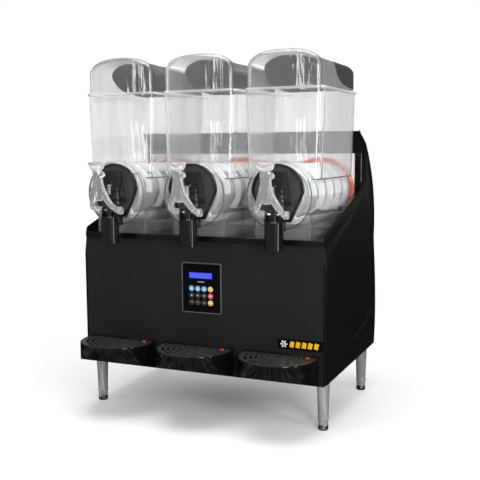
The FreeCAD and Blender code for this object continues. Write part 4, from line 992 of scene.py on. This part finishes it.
def lever():
    """The clear lever: two eyes on the pin, a fork that arches over the spout, a shaft and a grip."""
    y, z = tap_axis, pivot_z
    parts = []
    for side in (-1, 1):
        eye = turned([(0.0078, -0.005), (0.009, -0.0035), (0.009, 0.0035), (0.0078, 0.005)], (0, 0, 0), 32)
        bmesh.ops.rotate(eye, verts=eye.verts, cent=(0, 0, 0), matrix=Matrix.Rotation(math.radians(90), 3, "Y"))
        bmesh.ops.translate(eye, verts=eye.verts, vec=(side * 0.0265, y, z))
        parts.append(eye)
        parts.append(limb([
            ((side * 0.0265, y - 0.002, z + 0.001), 0.0046, 0.0075),
            ((side * 0.0262, y - 0.014, z + 0.003), 0.0050, 0.0072),
            ((side * 0.0258, y - 0.028, z + 0.010), 0.0058, 0.0066),
            ((side * 0.0222, y - 0.0355, z + 0.018), 0.0072, 0.0060),
            ((side * 0.0172, y - 0.0390, z + 0.027), 0.0084, 0.0058),
            ((side * 0.0126, y - 0.0415, z + 0.036), 0.0084, 0.0058),
            ((side * 0.0092, y - 0.0435, z + 0.048), 0.0074, 0.0058),
            ((side * 0.0066, y - 0.0450, z + 0.062), 0.0060, 0.0058),
            ((side * 0.0054, y - 0.0465, z + 0.080), 0.0056, 0.0058),
        ]))
    parts.append(limb([
        ((0, y - 0.0385, z + 0.0245), 0.0060, 0.0036),
        ((0, y - 0.0400, z + 0.0290), 0.0120, 0.0048),
        ((0, y - 0.0435, z + 0.0440), 0.0124, 0.0052),
        ((0, y - 0.0450, z + 0.0620), 0.0120, 0.0056),
        ((0, y - 0.0465, z + 0.0800), 0.0116, 0.0058),
        ((0, y - 0.0480, z + 0.0960), 0.0112, 0.0060),
    ]))
    grip = turned([(0.0050, 0.0), (0.0068, 0.0016), (0.0078, 0.0048), (0.0086, 0.0090), (0.0092, 0.0125),
                   (0.0093, 0.0150), (0.0091, 0.0168), (0.0084, 0.0174), (0.0077, 0.0166), (0.0070, 0.0135),
                   (0.0050, 0.0110), (0.0024, 0.0102)], (0, 0, 0), 48)
    bmesh.ops.scale(grip, verts=grip.verts, vec=(0.0210 / 0.0093, 1, 1))
    bmesh.ops.rotate(grip, verts=grip.verts, cent=(0, 0, 0), matrix=Matrix.Rotation(math.radians(4), 3, "X"))
    bmesh.ops.translate(grip, verts=grip.verts, vec=(0, y - 0.0480, z + 0.0915))
    parts.append(grip)
    lug = bmesh.new()
    bmesh.ops.create_icosphere(lug, subdivisions=3, radius=0.0062)
    bmesh.ops.scale(lug, verts=lug.verts, vec=(1, 0.9, 1.05))
    bmesh.ops.translate(lug, verts=lug.verts, vec=(0.0132, y - 0.0465, z + 0.0815))
    parts.append(lug)
    return joined(parts)


def melted(bm, voxel, rounds):
    """One smooth skin round several overlapping solids."""
    holder = solid("melt", bm)
    remesh = holder.modifiers.new("skin", "REMESH")
    remesh.mode = "VOXEL"
    remesh.voxel_size = voxel
    smooth = holder.modifiers.new("smooth", "SMOOTH")
    smooth.factor = 0.5
    smooth.iterations = rounds
    graph = bpy.context.evaluated_depsgraph_get()
    data = bpy.data.meshes.new_from_object(holder.evaluated_get(graph))
    holder.modifiers.clear()
    bpy.data.objects.remove(holder)
    result = bmesh.new()
    result.from_mesh(data)
    bpy.data.meshes.remove(data)
    return result


def field_plate():
    """The satin inlay inside the shield's raised rim, with its two ribs either side of the valve."""
    bm = bmesh.new()
    z, radius = shaft_z + 0.011, 0.0515
    arc = []
    for step in range(33):
        angle = math.pi * step / 32
        arc.append((radius * math.cos(angle), z - 0.001 + (radius + 0.0005) * math.sin(angle)))
    foot = pivot_z - 0.0105
    waist = [(-0.0500, z - 0.012), (-0.0440, z - 0.024), (-0.0345, z - 0.038), (-0.0245, foot)]
    outline_points = arc + waist + [(-x, height) for x, height in waist[::-1]]
    near = [bm.verts.new((x, tap_face + 0.0022, height)) for x, height in outline_points]
    far = [bm.verts.new((x, tap_face + 0.0032, height)) for x, height in outline_points]
    for step in range(len(near)):
        following = (step + 1) % len(near)
        bm.faces.new((near[step], near[following], far[following], far[step]))
    bm.faces.new(near[::-1])
    bm.faces.new(far)
    bmesh.ops.recalc_face_normals(bm, faces=bm.faces)
    ribs = [bm]
    for side in (-1, 1):
        high = Vector((side * 0.0225, tap_face - 0.0005, shaft_z + 0.052))
        low = Vector((side * 0.0335, tap_face - 0.0005, shaft_z - 0.017))
        ribs.append(bar(high, low, 0.0022, 0.0030, 0.0009))
    return joined(ribs)


valve = turned([(0.0030, 0), (0.0064, 0.0012), (0.0078, 0.0040), (0.0080, 0.0125), (0.0066, 0.0140), (0.0066, 0.0162),
                (0.0080, 0.0176), (0.0080, 0.0250), (0.0058, 0.0275), (0.0045, 0.0300), (0.0045, 0.0372),
                (0.0056, 0.0386), (0.0056, 0.0420), (0.0040, 0.0434)], (0, 0, 0), 32)
spring = coil(0.0062, 0.0011, 0.022, 5)
lever_mesh = melted(lever(), 0.0008, 6)
inlay = field_plate()
for n in NUMBERS:
    refined(f"tap_body_{n}", f"bowl_{n}", "tap_black", tap_gloss, 0.0011, 3)
    refined(f"tap_piston_{n}", f"piston_{n}", "piston_black", piston_black, 0.0005, 2)
    refined(f"handle_pin_{n}", f"handle_{n}", "shaft_steel", shaft_steel, 0.0006, 2)
    offset = (bowl_x[n], 0, 0)
    piece(f"tap_handle_{n}_lever", moved(lever_mesh, offset), f"handle_{n}", "handle_clear", lever_clear,
          replaces=[f"tap_handle_{n}"], angle=60)
    piece(f"tap_{n}_inlay", moved(inlay, offset), f"bowl_{n}", "tap_black", tap_field)
    valve_place = (bowl_x[n] + 0.0125, tap_face - 0.0070, shaft_z - 0.031)
    piece(f"tap_{n}_valve", moved(valve, valve_place), f"bowl_{n}", "piston_black", piston_black, angle=50)
    spring_place = (bowl_x[n] - 0.0075, tap_face - 0.0072, shaft_z - 0.001)
    piece(f"tap_{n}_spring", moved(spring, spring_place), f"bowl_{n}", "shaft_steel", spring_steel, angle=60)
for mesh in (valve, spring, lever_mesh, inlay):
    mesh.free()

# ---- drip trays ----------------------------------------------------------------------------------
# High-gloss black trays hang on studs of the front panel. Each has a lift-out grille with rings of
# slots and a red float that shows when the tray is full.

tray_gloss = material("tray_gloss", (0.004, 0.004, 0.005), 0.06, spread=0.06, grain=0.015,
                      Specular_IOR_Level=0.32)
grille_satin = material("grille_satin", (0.030, 0.030, 0.031), 0.3, spread=0.12, grain=0.05)
float_red = material("float_red", (0.72, 0.02, 0.012), 0.2, grain=0.02)
stud_steel = material("stud_steel", (0.5, 0.5, 0.5), 0.3, scale=60, Metallic=1.0)
refined("tray_studs", "chassis", "stud_steel", stud_steel, 0.0005, 2)

tray_low, tray_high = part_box("drip_tray_2")
tray_back, tray_round = tray_high.y, 0.5 * (tray_high.x - tray_low.x)
tray_centre = tray_low.y + tray_round
tray_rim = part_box("drip_grille_2")[1].z
tray_wall, tray_slope = 0.003, 0.32


def tray_ring(bm, inset, height, sloped=False, steps=120):
    """One level, or sloping, loop of the tray's plan: most of a circle with a straight back."""
    reach, back = tray_round - inset, tray_back - inset
    start = math.asin((back - tray_centre) / reach)
    ring = []
    for step in range(steps + 1):
        angle = start - (math.pi + 2 * start) * step / steps
        ring.append((reach * math.cos(angle), tray_centre + reach * math.sin(angle)))
    half = ring[0][0]
    ring += [(-half + 2 * half * step / 20, back) for step in range(1, 20)]
    rise = tray_slope if sloped else 0
    return [bm.verts.new((x, y, height + rise * (tray_back - y))) for x, y in ring]


def tray_shell():
    """The tray's gloss moulding, with a rounded rim, a ledge for the grille and a sloping floor."""
    floor = case_low + 0.0006
    levels = [(0.0012, floor, True), (0.0004, floor + 0.0004, True), (0, floor + 0.0014, True),
              (0, tray_rim - 0.0016, False), (0.0005, tray_rim - 0.0005, False), (0.0015, tray_rim, False),
              (0.0025, tray_rim - 0.0005, False), (tray_wall, tray_rim - 0.0014, False),
              (tray_wall, tray_rim - 0.0031, False), (tray_wall + 0.003, tray_rim - 0.0032, False),
              (tray_wall + 0.003, tray_rim - 0.0060, False), (tray_wall + 0.0002, tray_rim - 0.0062, False),
              (tray_wall, floor + tray_wall + 0.001, True), (tray_wall + 0.002, floor + tray_wall, True)]
    bm = bmesh.new()
    rings = [tray_ring(bm, *level) for level in levels]
    for lower, upper in zip(rings[:-1], rings[1:]):
        for step in range(len(lower)):
            following = (step + 1) % len(lower)
            bm.faces.new((lower[step], lower[following], upper[following], upper[step]))
    bm.faces.new(rings[0][::-1])
    bm.faces.new(rings[-1])
    bmesh.ops.recalc_face_normals(bm, faces=bm.faces)
    half = math.sqrt(tray_round ** 2 - (tray_back - tray_centre) ** 2) - 0.001
    spot = Vector((0, tray_back - tray_wall / 2, 0.5 * (tray_rim - 0.002 + tray_high.z)))
    upstand = bar(spot - Vector((half, 0, 0)), spot + Vector((half, 0, 0)), 0.5 * (tray_high.z - tray_rim + 0.002),
                  tray_wall / 2, 0.0009)
    return joined([bm, upstand])


tray_mesh = tray_shell()
for n in NUMBERS:
    piece(f"drip_tray_{n}_shell", moved(tray_mesh, (bowl_x[n], 0, 0)), f"tray_{n}", "tray_black", tray_gloss,
          replaces=[f"drip_tray_{n}"])
    refined(f"drip_grille_{n}", f"grille_{n}", "grille_black", grille_satin, 0.0006, 2)
    refined(f"tray_float_{n}", f"float_{n}", "float_red", float_red, 0.0006, 2)
tray_mesh.free()

# ---- control panel -------------------------------------------------------------------------------
# A grey bezel clipped into the front panel frames a sealed black film with coloured key pads and a
# blue display. A small plate with a plain pattern sits low on the right of the panel.

bezel_grey = material("bezel_grey", (0.085, 0.085, 0.088), 0.35, spread=0.1, grain=0.05)
film_black = material("film_black", (0.002, 0.002, 0.0025), 0.2, spread=0.08, grain=0.02, Specular_IOR_Level=0.12)
key_blue = material("key_blue", (0.20, 0.55, 0.98), 0.35, drift=0.15, grain=0.03)
key_yellow = material("key_yellow", (0.98, 0.82, 0.14), 0.35, drift=0.15, grain=0.03)
key_red = material("key_red", (0.92, 0.10, 0.13), 0.35, drift=0.15, grain=0.03)
print_white = material("print_white", (0.93, 0.93, 0.92), 0.4, drift=0.1, grain=0.03)
print_grey = material("print_grey", (0.16, 0.16, 0.16), 0.4, drift=0.1, grain=0.03)
print_dark = material("print_dark", (0.012, 0.012, 0.015), 0.4, drift=0.1, grain=0.03)
plate_yellow = material("plate_yellow", (1.0, 0.56, 0.0), 0.32, drift=0.1, grain=0.03)


def picture_frame(low, high, width, corner, steps=6):
    """A flat frame in the panel's plane with rounded corners and a rounded front."""
    bm = bmesh.new()
    middle_x, middle_z = 0.5 * (low.x + high.x), 0.5 * (low.z + high.z)
    half_x, half_z = 0.5 * (high.x - low.x), 0.5 * (high.z - low.z)
    rings = []
    for inset, y in ((0, high.y), (0, low.y + 0.0012), (0.0004, low.y + 0.0004), (0.0011, low.y),
                     (width - 0.0008, low.y), (width - 0.0002, low.y + 0.0005), (width, low.y + 0.0012),
                     (width, high.y)):
        ring = []
        radius = max(corner - inset, 0.0006)
        for quarter, (sign_x, sign_z) in enumerate(((1, 1), (-1, 1), (-1, -1), (1, -1))):
            for step in range(steps + 1):
                angle = math.radians(90 * quarter + 90 * step / steps)
                ring.append(bm.verts.new((
                    middle_x + sign_x * (half_x - inset - radius) + radius * math.cos(angle), y,
                    middle_z + sign_z * (half_z - inset - radius) + radius * math.sin(angle))))
        rings.append(ring)
    for near, far in zip(rings, rings[1:] + rings[:1]):
        for step in range(len(near)):
            following = (step + 1) % len(near)
            bm.faces.new((near[step], near[following], far[following], far[step]))
    bmesh.ops.recalc_face_normals(bm, faces=bm.faces)
    return bm


bezel_low, bezel_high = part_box("control_bezel")
piece("control_bezel_frame", picture_frame(bezel_low, bezel_high, 0.003, 0.0035), "chassis", "bezel_grey", bezel_grey,
      replaces=["control_bezel"])
refined("keypad_overlay", "chassis", "keypad_black", film_black, 0.0003, 2)

film_low, film_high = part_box("keypad_overlay")
film_face = film_low.y
key_x = [film_low.x + 0.0218 + 0.0155 * column for column in range(4)]
key_z = [film_low.z + 0.0525 - 0.0154 * row for row in range(3)]


def disc_pad(radius, x, z, thick=0.0004, segments=32):
    """A low rounded pad on the film."""
    return turned([(radius, 0), (radius, -0.4 * thick), (radius - 0.4 * thick, -thick)], (x, film_face, z), segments, "y")


def ring_pad(radius, width, x, z, thick=0.0003, segments=32):
    """A flat printed ring on the film."""
    bm = bmesh.new()
    rings = []
    for reach, depth in ((radius, 0), (radius, -thick), (radius - width, -thick), (radius - width, 0)):
        rings.append([
            bm.verts.new((x + reach * math.cos(2 * math.pi * step / segments), film_face + depth,
                          z + reach * math.sin(2 * math.pi * step / segments)))
            for step in range(segments)
        ])
    for near, far in zip(rings, rings[1:] + rings[:1]):
        for step in range(segments):
            following = (step + 1) % segments
            bm.faces.new((near[step], near[following], far[following], far[step]))
    bmesh.ops.recalc_face_normals(bm, faces=bm.faces)
    return bm


def print_bar(x, z, wide, tall, face, thick=0.0003, turn=0.0):
    """A flat printed bar, turned in the panel's plane."""
    bm = bmesh.new()
    bmesh.ops.create_cube(bm, size=1)
    bmesh.ops.scale(bm, verts=bm.verts, vec=(wide, thick, tall))
    bmesh.ops.rotate(bm, verts=bm.verts, cent=(0, 0, 0), matrix=Matrix.Rotation(turn, 3, "Y"))
    bmesh.ops.translate(bm, verts=bm.verts, vec=(x, face - thick / 2, z))
    return bm


key_colours = ((key_blue, key_blue, key_blue, key_yellow), (None, None, None, key_red), (None, None, None, key_yellow))
pads = {key_blue: [], key_yellow: [], key_red: []}
white_print, grey_print, dark_print = [], [], []
for row, colours in enumerate(key_colours):
    for column, colour in enumerate(colours):
        x, z = key_x[column], key_z[row]
        if colour is None:
            grey_print.append(ring_pad(0.0058, 0.0007, x, z))
            white_print.append(print_bar(x, z, 0.0044, 0.0011, film_face))
            if row == 1:
                white_print.append(print_bar(x, z, 0.0011, 0.0044, film_face))
            continue
        pads[colour].append(disc_pad(0.0062, x, z))
        top_face = film_face - 0.0004
        if colour is key_blue:
            white_print.append(print_bar(x, z, 0.0070, 0.0022, top_face, 0.0002, math.radians(38)))
            white_print.append(print_bar(x - 0.0014, z - 0.0016, 0.0034, 0.0018, top_face, 0.0002))
        else:
            white_print.append(print_bar(x, z + 0.0004, 0.0044, 0.0030, top_face, 0.0002))
            dark_print.append(print_bar(x, z - 0.0027, 0.0050, 0.0007, top_face, 0.0002))
for colour, meshes in pads.items():
    piece(colour.name + "_pads", joined(meshes), "chassis", "keypad_black", colour)
white_print.append(print_bar(0.5 * (film_low.x + film_high.x) - 0.001, film_low.z + 0.068, 0.016, 0.0011, film_face))
piece("keypad_white_print", joined(white_print), "chassis", "keypad_black", print_white)
piece("keypad_grey_print", joined(grey_print), "chassis", "keypad_black", print_grey)
piece("keypad_dark_print", joined(dark_print), "chassis", "keypad_black", print_dark)

# The display: a lit blue screen with a frame of clear film and two rows of plain cells.
display_low, display_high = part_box("display")
screen_blue = material("screen_blue", (0.03, 0.04, 0.55), 0.12, drift=0.1, scale=40, grain=0.02)
screen_blue.node_tree.nodes["Principled BSDF"].inputs["Emission Color"].default_value = (0.075, 0.095, 1.0, 1)
screen_blue.node_tree.nodes["Principled BSDF"].inputs["Emission Strength"].default_value = 0.62
cell_light = material("cell_light", (0.12, 0.15, 0.6), 0.2, drift=0.1, grain=0.02)
cell_light.node_tree.nodes["Principled BSDF"].inputs["Emission Color"].default_value = (0.16, 0.19, 0.9, 1)
cell_light.node_tree.nodes["Principled BSDF"].inputs["Emission Strength"].default_value = 0.5
refined("display", "chassis", "display_blue", screen_blue, 0.0004, 2)

tree, given, result = node_tree("display_cells", {"Wide": display_high.x - display_low.x - 0.010, "Tall": 0.0052,
                                                  "Cell": 0.0019, "Seed": 7})
grid = tree.nodes.new("GeometryNodeMeshGrid")
grid.inputs["Vertices X"].default_value = 16
grid.inputs["Vertices Y"].default_value = 2
tree.links.new(given.outputs["Wide"], grid.inputs["Size X"])
tree.links.new(given.outputs["Tall"], grid.inputs["Size Y"])
spots = tree.nodes.new("GeometryNodeMeshToPoints")
tree.links.new(grid.outputs["Mesh"], spots.inputs["Mesh"])
cell = tree.nodes.new("GeometryNodeMeshCube")
cell_size = tree.nodes.new("ShaderNodeCombineXYZ")
tree.links.new(given.outputs["Cell"], cell_size.inputs["X"])
tree.links.new(given.outputs["Cell"], cell_size.inputs["Y"])
cell_size.inputs["Z"].default_value = 0.0002
tree.links.new(cell_size.outputs[0], cell.inputs["Size"])
chance = tree.nodes.new("FunctionNodeRandomValue")
chance.data_type = "FLOAT_VECTOR"
chance.inputs[0].default_value = (0.55, 0.6, 1.0)
chance.inputs[1].default_value = (1.0, 1.35, 1.0)
tree.links.new(given.outputs["Seed"], chance.inputs["Seed"])
placed = tree.nodes.new("GeometryNodeInstanceOnPoints")
tree.links.new(spots.outputs[0], placed.inputs["Points"])
tree.links.new(cell.outputs["Mesh"], placed.inputs["Instance"])
tree.links.new(chance.outputs["Value"], placed.inputs["Scale"])
ending(tree, placed.outputs[0], result, cell_light)
cells = grown(tree)
bmesh.ops.rotate(cells, verts=cells.verts, cent=(0, 0, 0), matrix=Matrix.Rotation(math.radians(90), 3, "X"))
bmesh.ops.translate(cells, verts=cells.verts, vec=(
    0.5 * (display_low.x + display_high.x), display_low.y - 0.0001, 0.5 * (display_low.z + display_high.z)))
piece("display_cells", cells, "chassis", "display_blue", cell_light)

# The plain plate: black, with a small star of six arms and a row of slanted yellow bars.
plate_x, plate_z = (0.1896, 0.2902), (case_low + 0.075, case_low + 0.097)
plate = rounded_plate(0.5 * (plate_x[1] - plate_x[0]), -0.5 * (plate_z[1] - plate_z[0]),
                      0.5 * (plate_z[1] - plate_z[0]), 0.0015, 0.0, 0.0032)
bmesh.ops.rotate(plate, verts=plate.verts, cent=(0, 0, 0), matrix=Matrix.Rotation(math.radians(90), 3, "X"))
bmesh.ops.scale(plate, verts=plate.verts, vec=(1, 0.25, 1))
plate_middle = (0.5 * (plate_x[0] + plate_x[1]), front, 0.5 * (plate_z[0] + plate_z[1]))
bmesh.ops.translate(plate, verts=plate.verts, vec=plate_middle)
piece("name_plate", plate, "chassis", "keypad_black", film_black)
plate_face = front - 0.0008
star = [print_bar(plate_x[0] + 0.0135, plate_middle[2], 0.016, 0.0030, plate_face, 0.0003, math.radians(turn))
        for turn in (0, 60, 120)]
piece("name_plate_star", joined(star), "chassis", "keypad_black", print_white)
stripes = [print_bar(plate_x[0] + 0.032 + 0.0136 * index, plate_middle[2], 0.0092, 0.0130, plate_face, 0.0003,
                     math.radians(14)) for index in range(5)]
piece("name_plate_stripes", joined(stripes), "chassis", "keypad_black", plate_yellow)

# ---- inside the case and the back ----------------------------------------------------------------
# What shows through the air slots: the condenser's fins, the fan and its motor, the compressor can
# and the gearmotors. Screws with a cross recess hold the back sheet.

fin_metal = material("condenser_fins", (0.55, 0.56, 0.57), 0.35, scale=50, grain=0.4, grain_scale=500, Metallic=0.9)
can_black = material("can_paint", (0.014, 0.014, 0.014), 0.25, grain=0.05)
motor_grey = material("motor_paint", (0.12, 0.12, 0.125), 0.4, grain=0.1)
fan_plastic = material("fan_plastic", (0.03, 0.03, 0.03), 0.45, grain=0.1)
inlet_plastic = material("inlet_plastic", (0.02, 0.02, 0.02), 0.4, grain=0.1)
board_green = material("board_green", (0.02, 0.16, 0.06), 0.4, grain=0.1)
cast_grey = material("cast_alloy", (0.4, 0.4, 0.42), 0.45, grain=0.2, grain_scale=700, Metallic=0.8)
screw_steel = material("screw_steel", (0.55, 0.55, 0.56), 0.3, scale=90, Metallic=1.0)
for node, slot_name, finish in (
    ("condenser", "condenser_metal", fin_metal),
    ("compressor", "compressor_black", can_black),
    ("fan_motor", "motor_metal", motor_grey),
    ("power_inlet", "inlet_black", inlet_plastic),
    ("control_board", "board_green", board_green),
    ("gearmotors", "gear_grey", cast_grey),
):
    refined(node, "chassis", slot_name, finish, 0.0006, 2)
refined("fan_rotor", "fan", "fan_black", fan_plastic, 0.0005, 2)

screw_low, screw_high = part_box("panel_screws")
screw_radius = 0.004
tree, given, result = node_tree("cross_screws", {
    "Wide": screw_high.x - screw_low.x - 2 * screw_radius, "Tall": screw_high.z - screw_low.z - 2 * screw_radius,
    "Radius": screw_radius, "Height": screw_high.y - screw_low.y, "Columns": 4,
})
grid = tree.nodes.new("GeometryNodeMeshGrid")
tree.links.new(given.outputs["Columns"], grid.inputs["Vertices X"])
grid.inputs["Vertices Y"].default_value = 2
tree.links.new(given.outputs["Wide"], grid.inputs["Size X"])
tree.links.new(given.outputs["Tall"], grid.inputs["Size Y"])
ball = tree.nodes.new("GeometryNodeMeshUVSphere")
ball.inputs["Segments"].default_value = 24
ball.inputs["Rings"].default_value = 12
tree.links.new(given.outputs["Radius"], ball.inputs["Radius"])
recess = tree.nodes.new("GeometryNodeMeshCube")
recess.inputs["Size"].default_value = (0.0044, 0.0010, 0.0030)
other = tree.nodes.new("GeometryNodeMeshCube")
other.inputs["Size"].default_value = (0.0010, 0.0044, 0.0030)
lifted = []
for cube in (recess, other):
    lift = tree.nodes.new("GeometryNodeTransform")
    lift.inputs["Translation"].default_value = (0, 0, screw_radius)
    tree.links.new(cube.outputs["Mesh"], lift.inputs["Geometry"])
    lifted.append(lift)
base = tree.nodes.new("GeometryNodeMeshCube")
base.inputs["Size"].default_value = (0.02, 0.02, 0.01)
sink = tree.nodes.new("GeometryNodeTransform")
sink.inputs["Translation"].default_value = (0, 0, -0.005)
tree.links.new(base.outputs["Mesh"], sink.inputs["Geometry"])
carve = tree.nodes.new("GeometryNodeMeshBoolean")
carve.operation = "DIFFERENCE"
tree.links.new(ball.outputs["Mesh"], carve.inputs["Mesh 1"])
for cutter in lifted + [sink]:
    tree.links.new(cutter.outputs[0], carve.inputs["Mesh 2"])
flat = tree.nodes.new("GeometryNodeTransform")
flat.inputs["Scale"].default_value = (1, 1, (screw_high.y - screw_low.y) / screw_radius)
tree.links.new(carve.outputs["Mesh"], flat.inputs["Geometry"])
placed = tree.nodes.new("GeometryNodeInstanceOnPoints")
tree.links.new(grid.outputs["Mesh"], placed.inputs["Points"])
tree.links.new(flat.outputs[0], placed.inputs["Instance"])
ending(tree, placed.outputs[0], result, screw_steel)
screws = grown(tree)
bmesh.ops.rotate(screws, verts=screws.verts, cent=(0, 0, 0), matrix=Matrix.Rotation(math.radians(-90), 3, "X"))
bmesh.ops.translate(screws, verts=screws.verts, vec=(
    0.5 * (screw_low.x + screw_high.x), screw_low.y, 0.5 * (screw_low.z + screw_high.z)))
piece("panel_screw_heads", screws, "chassis", "screw_steel", screw_steel, replaces=["panel_screws"])
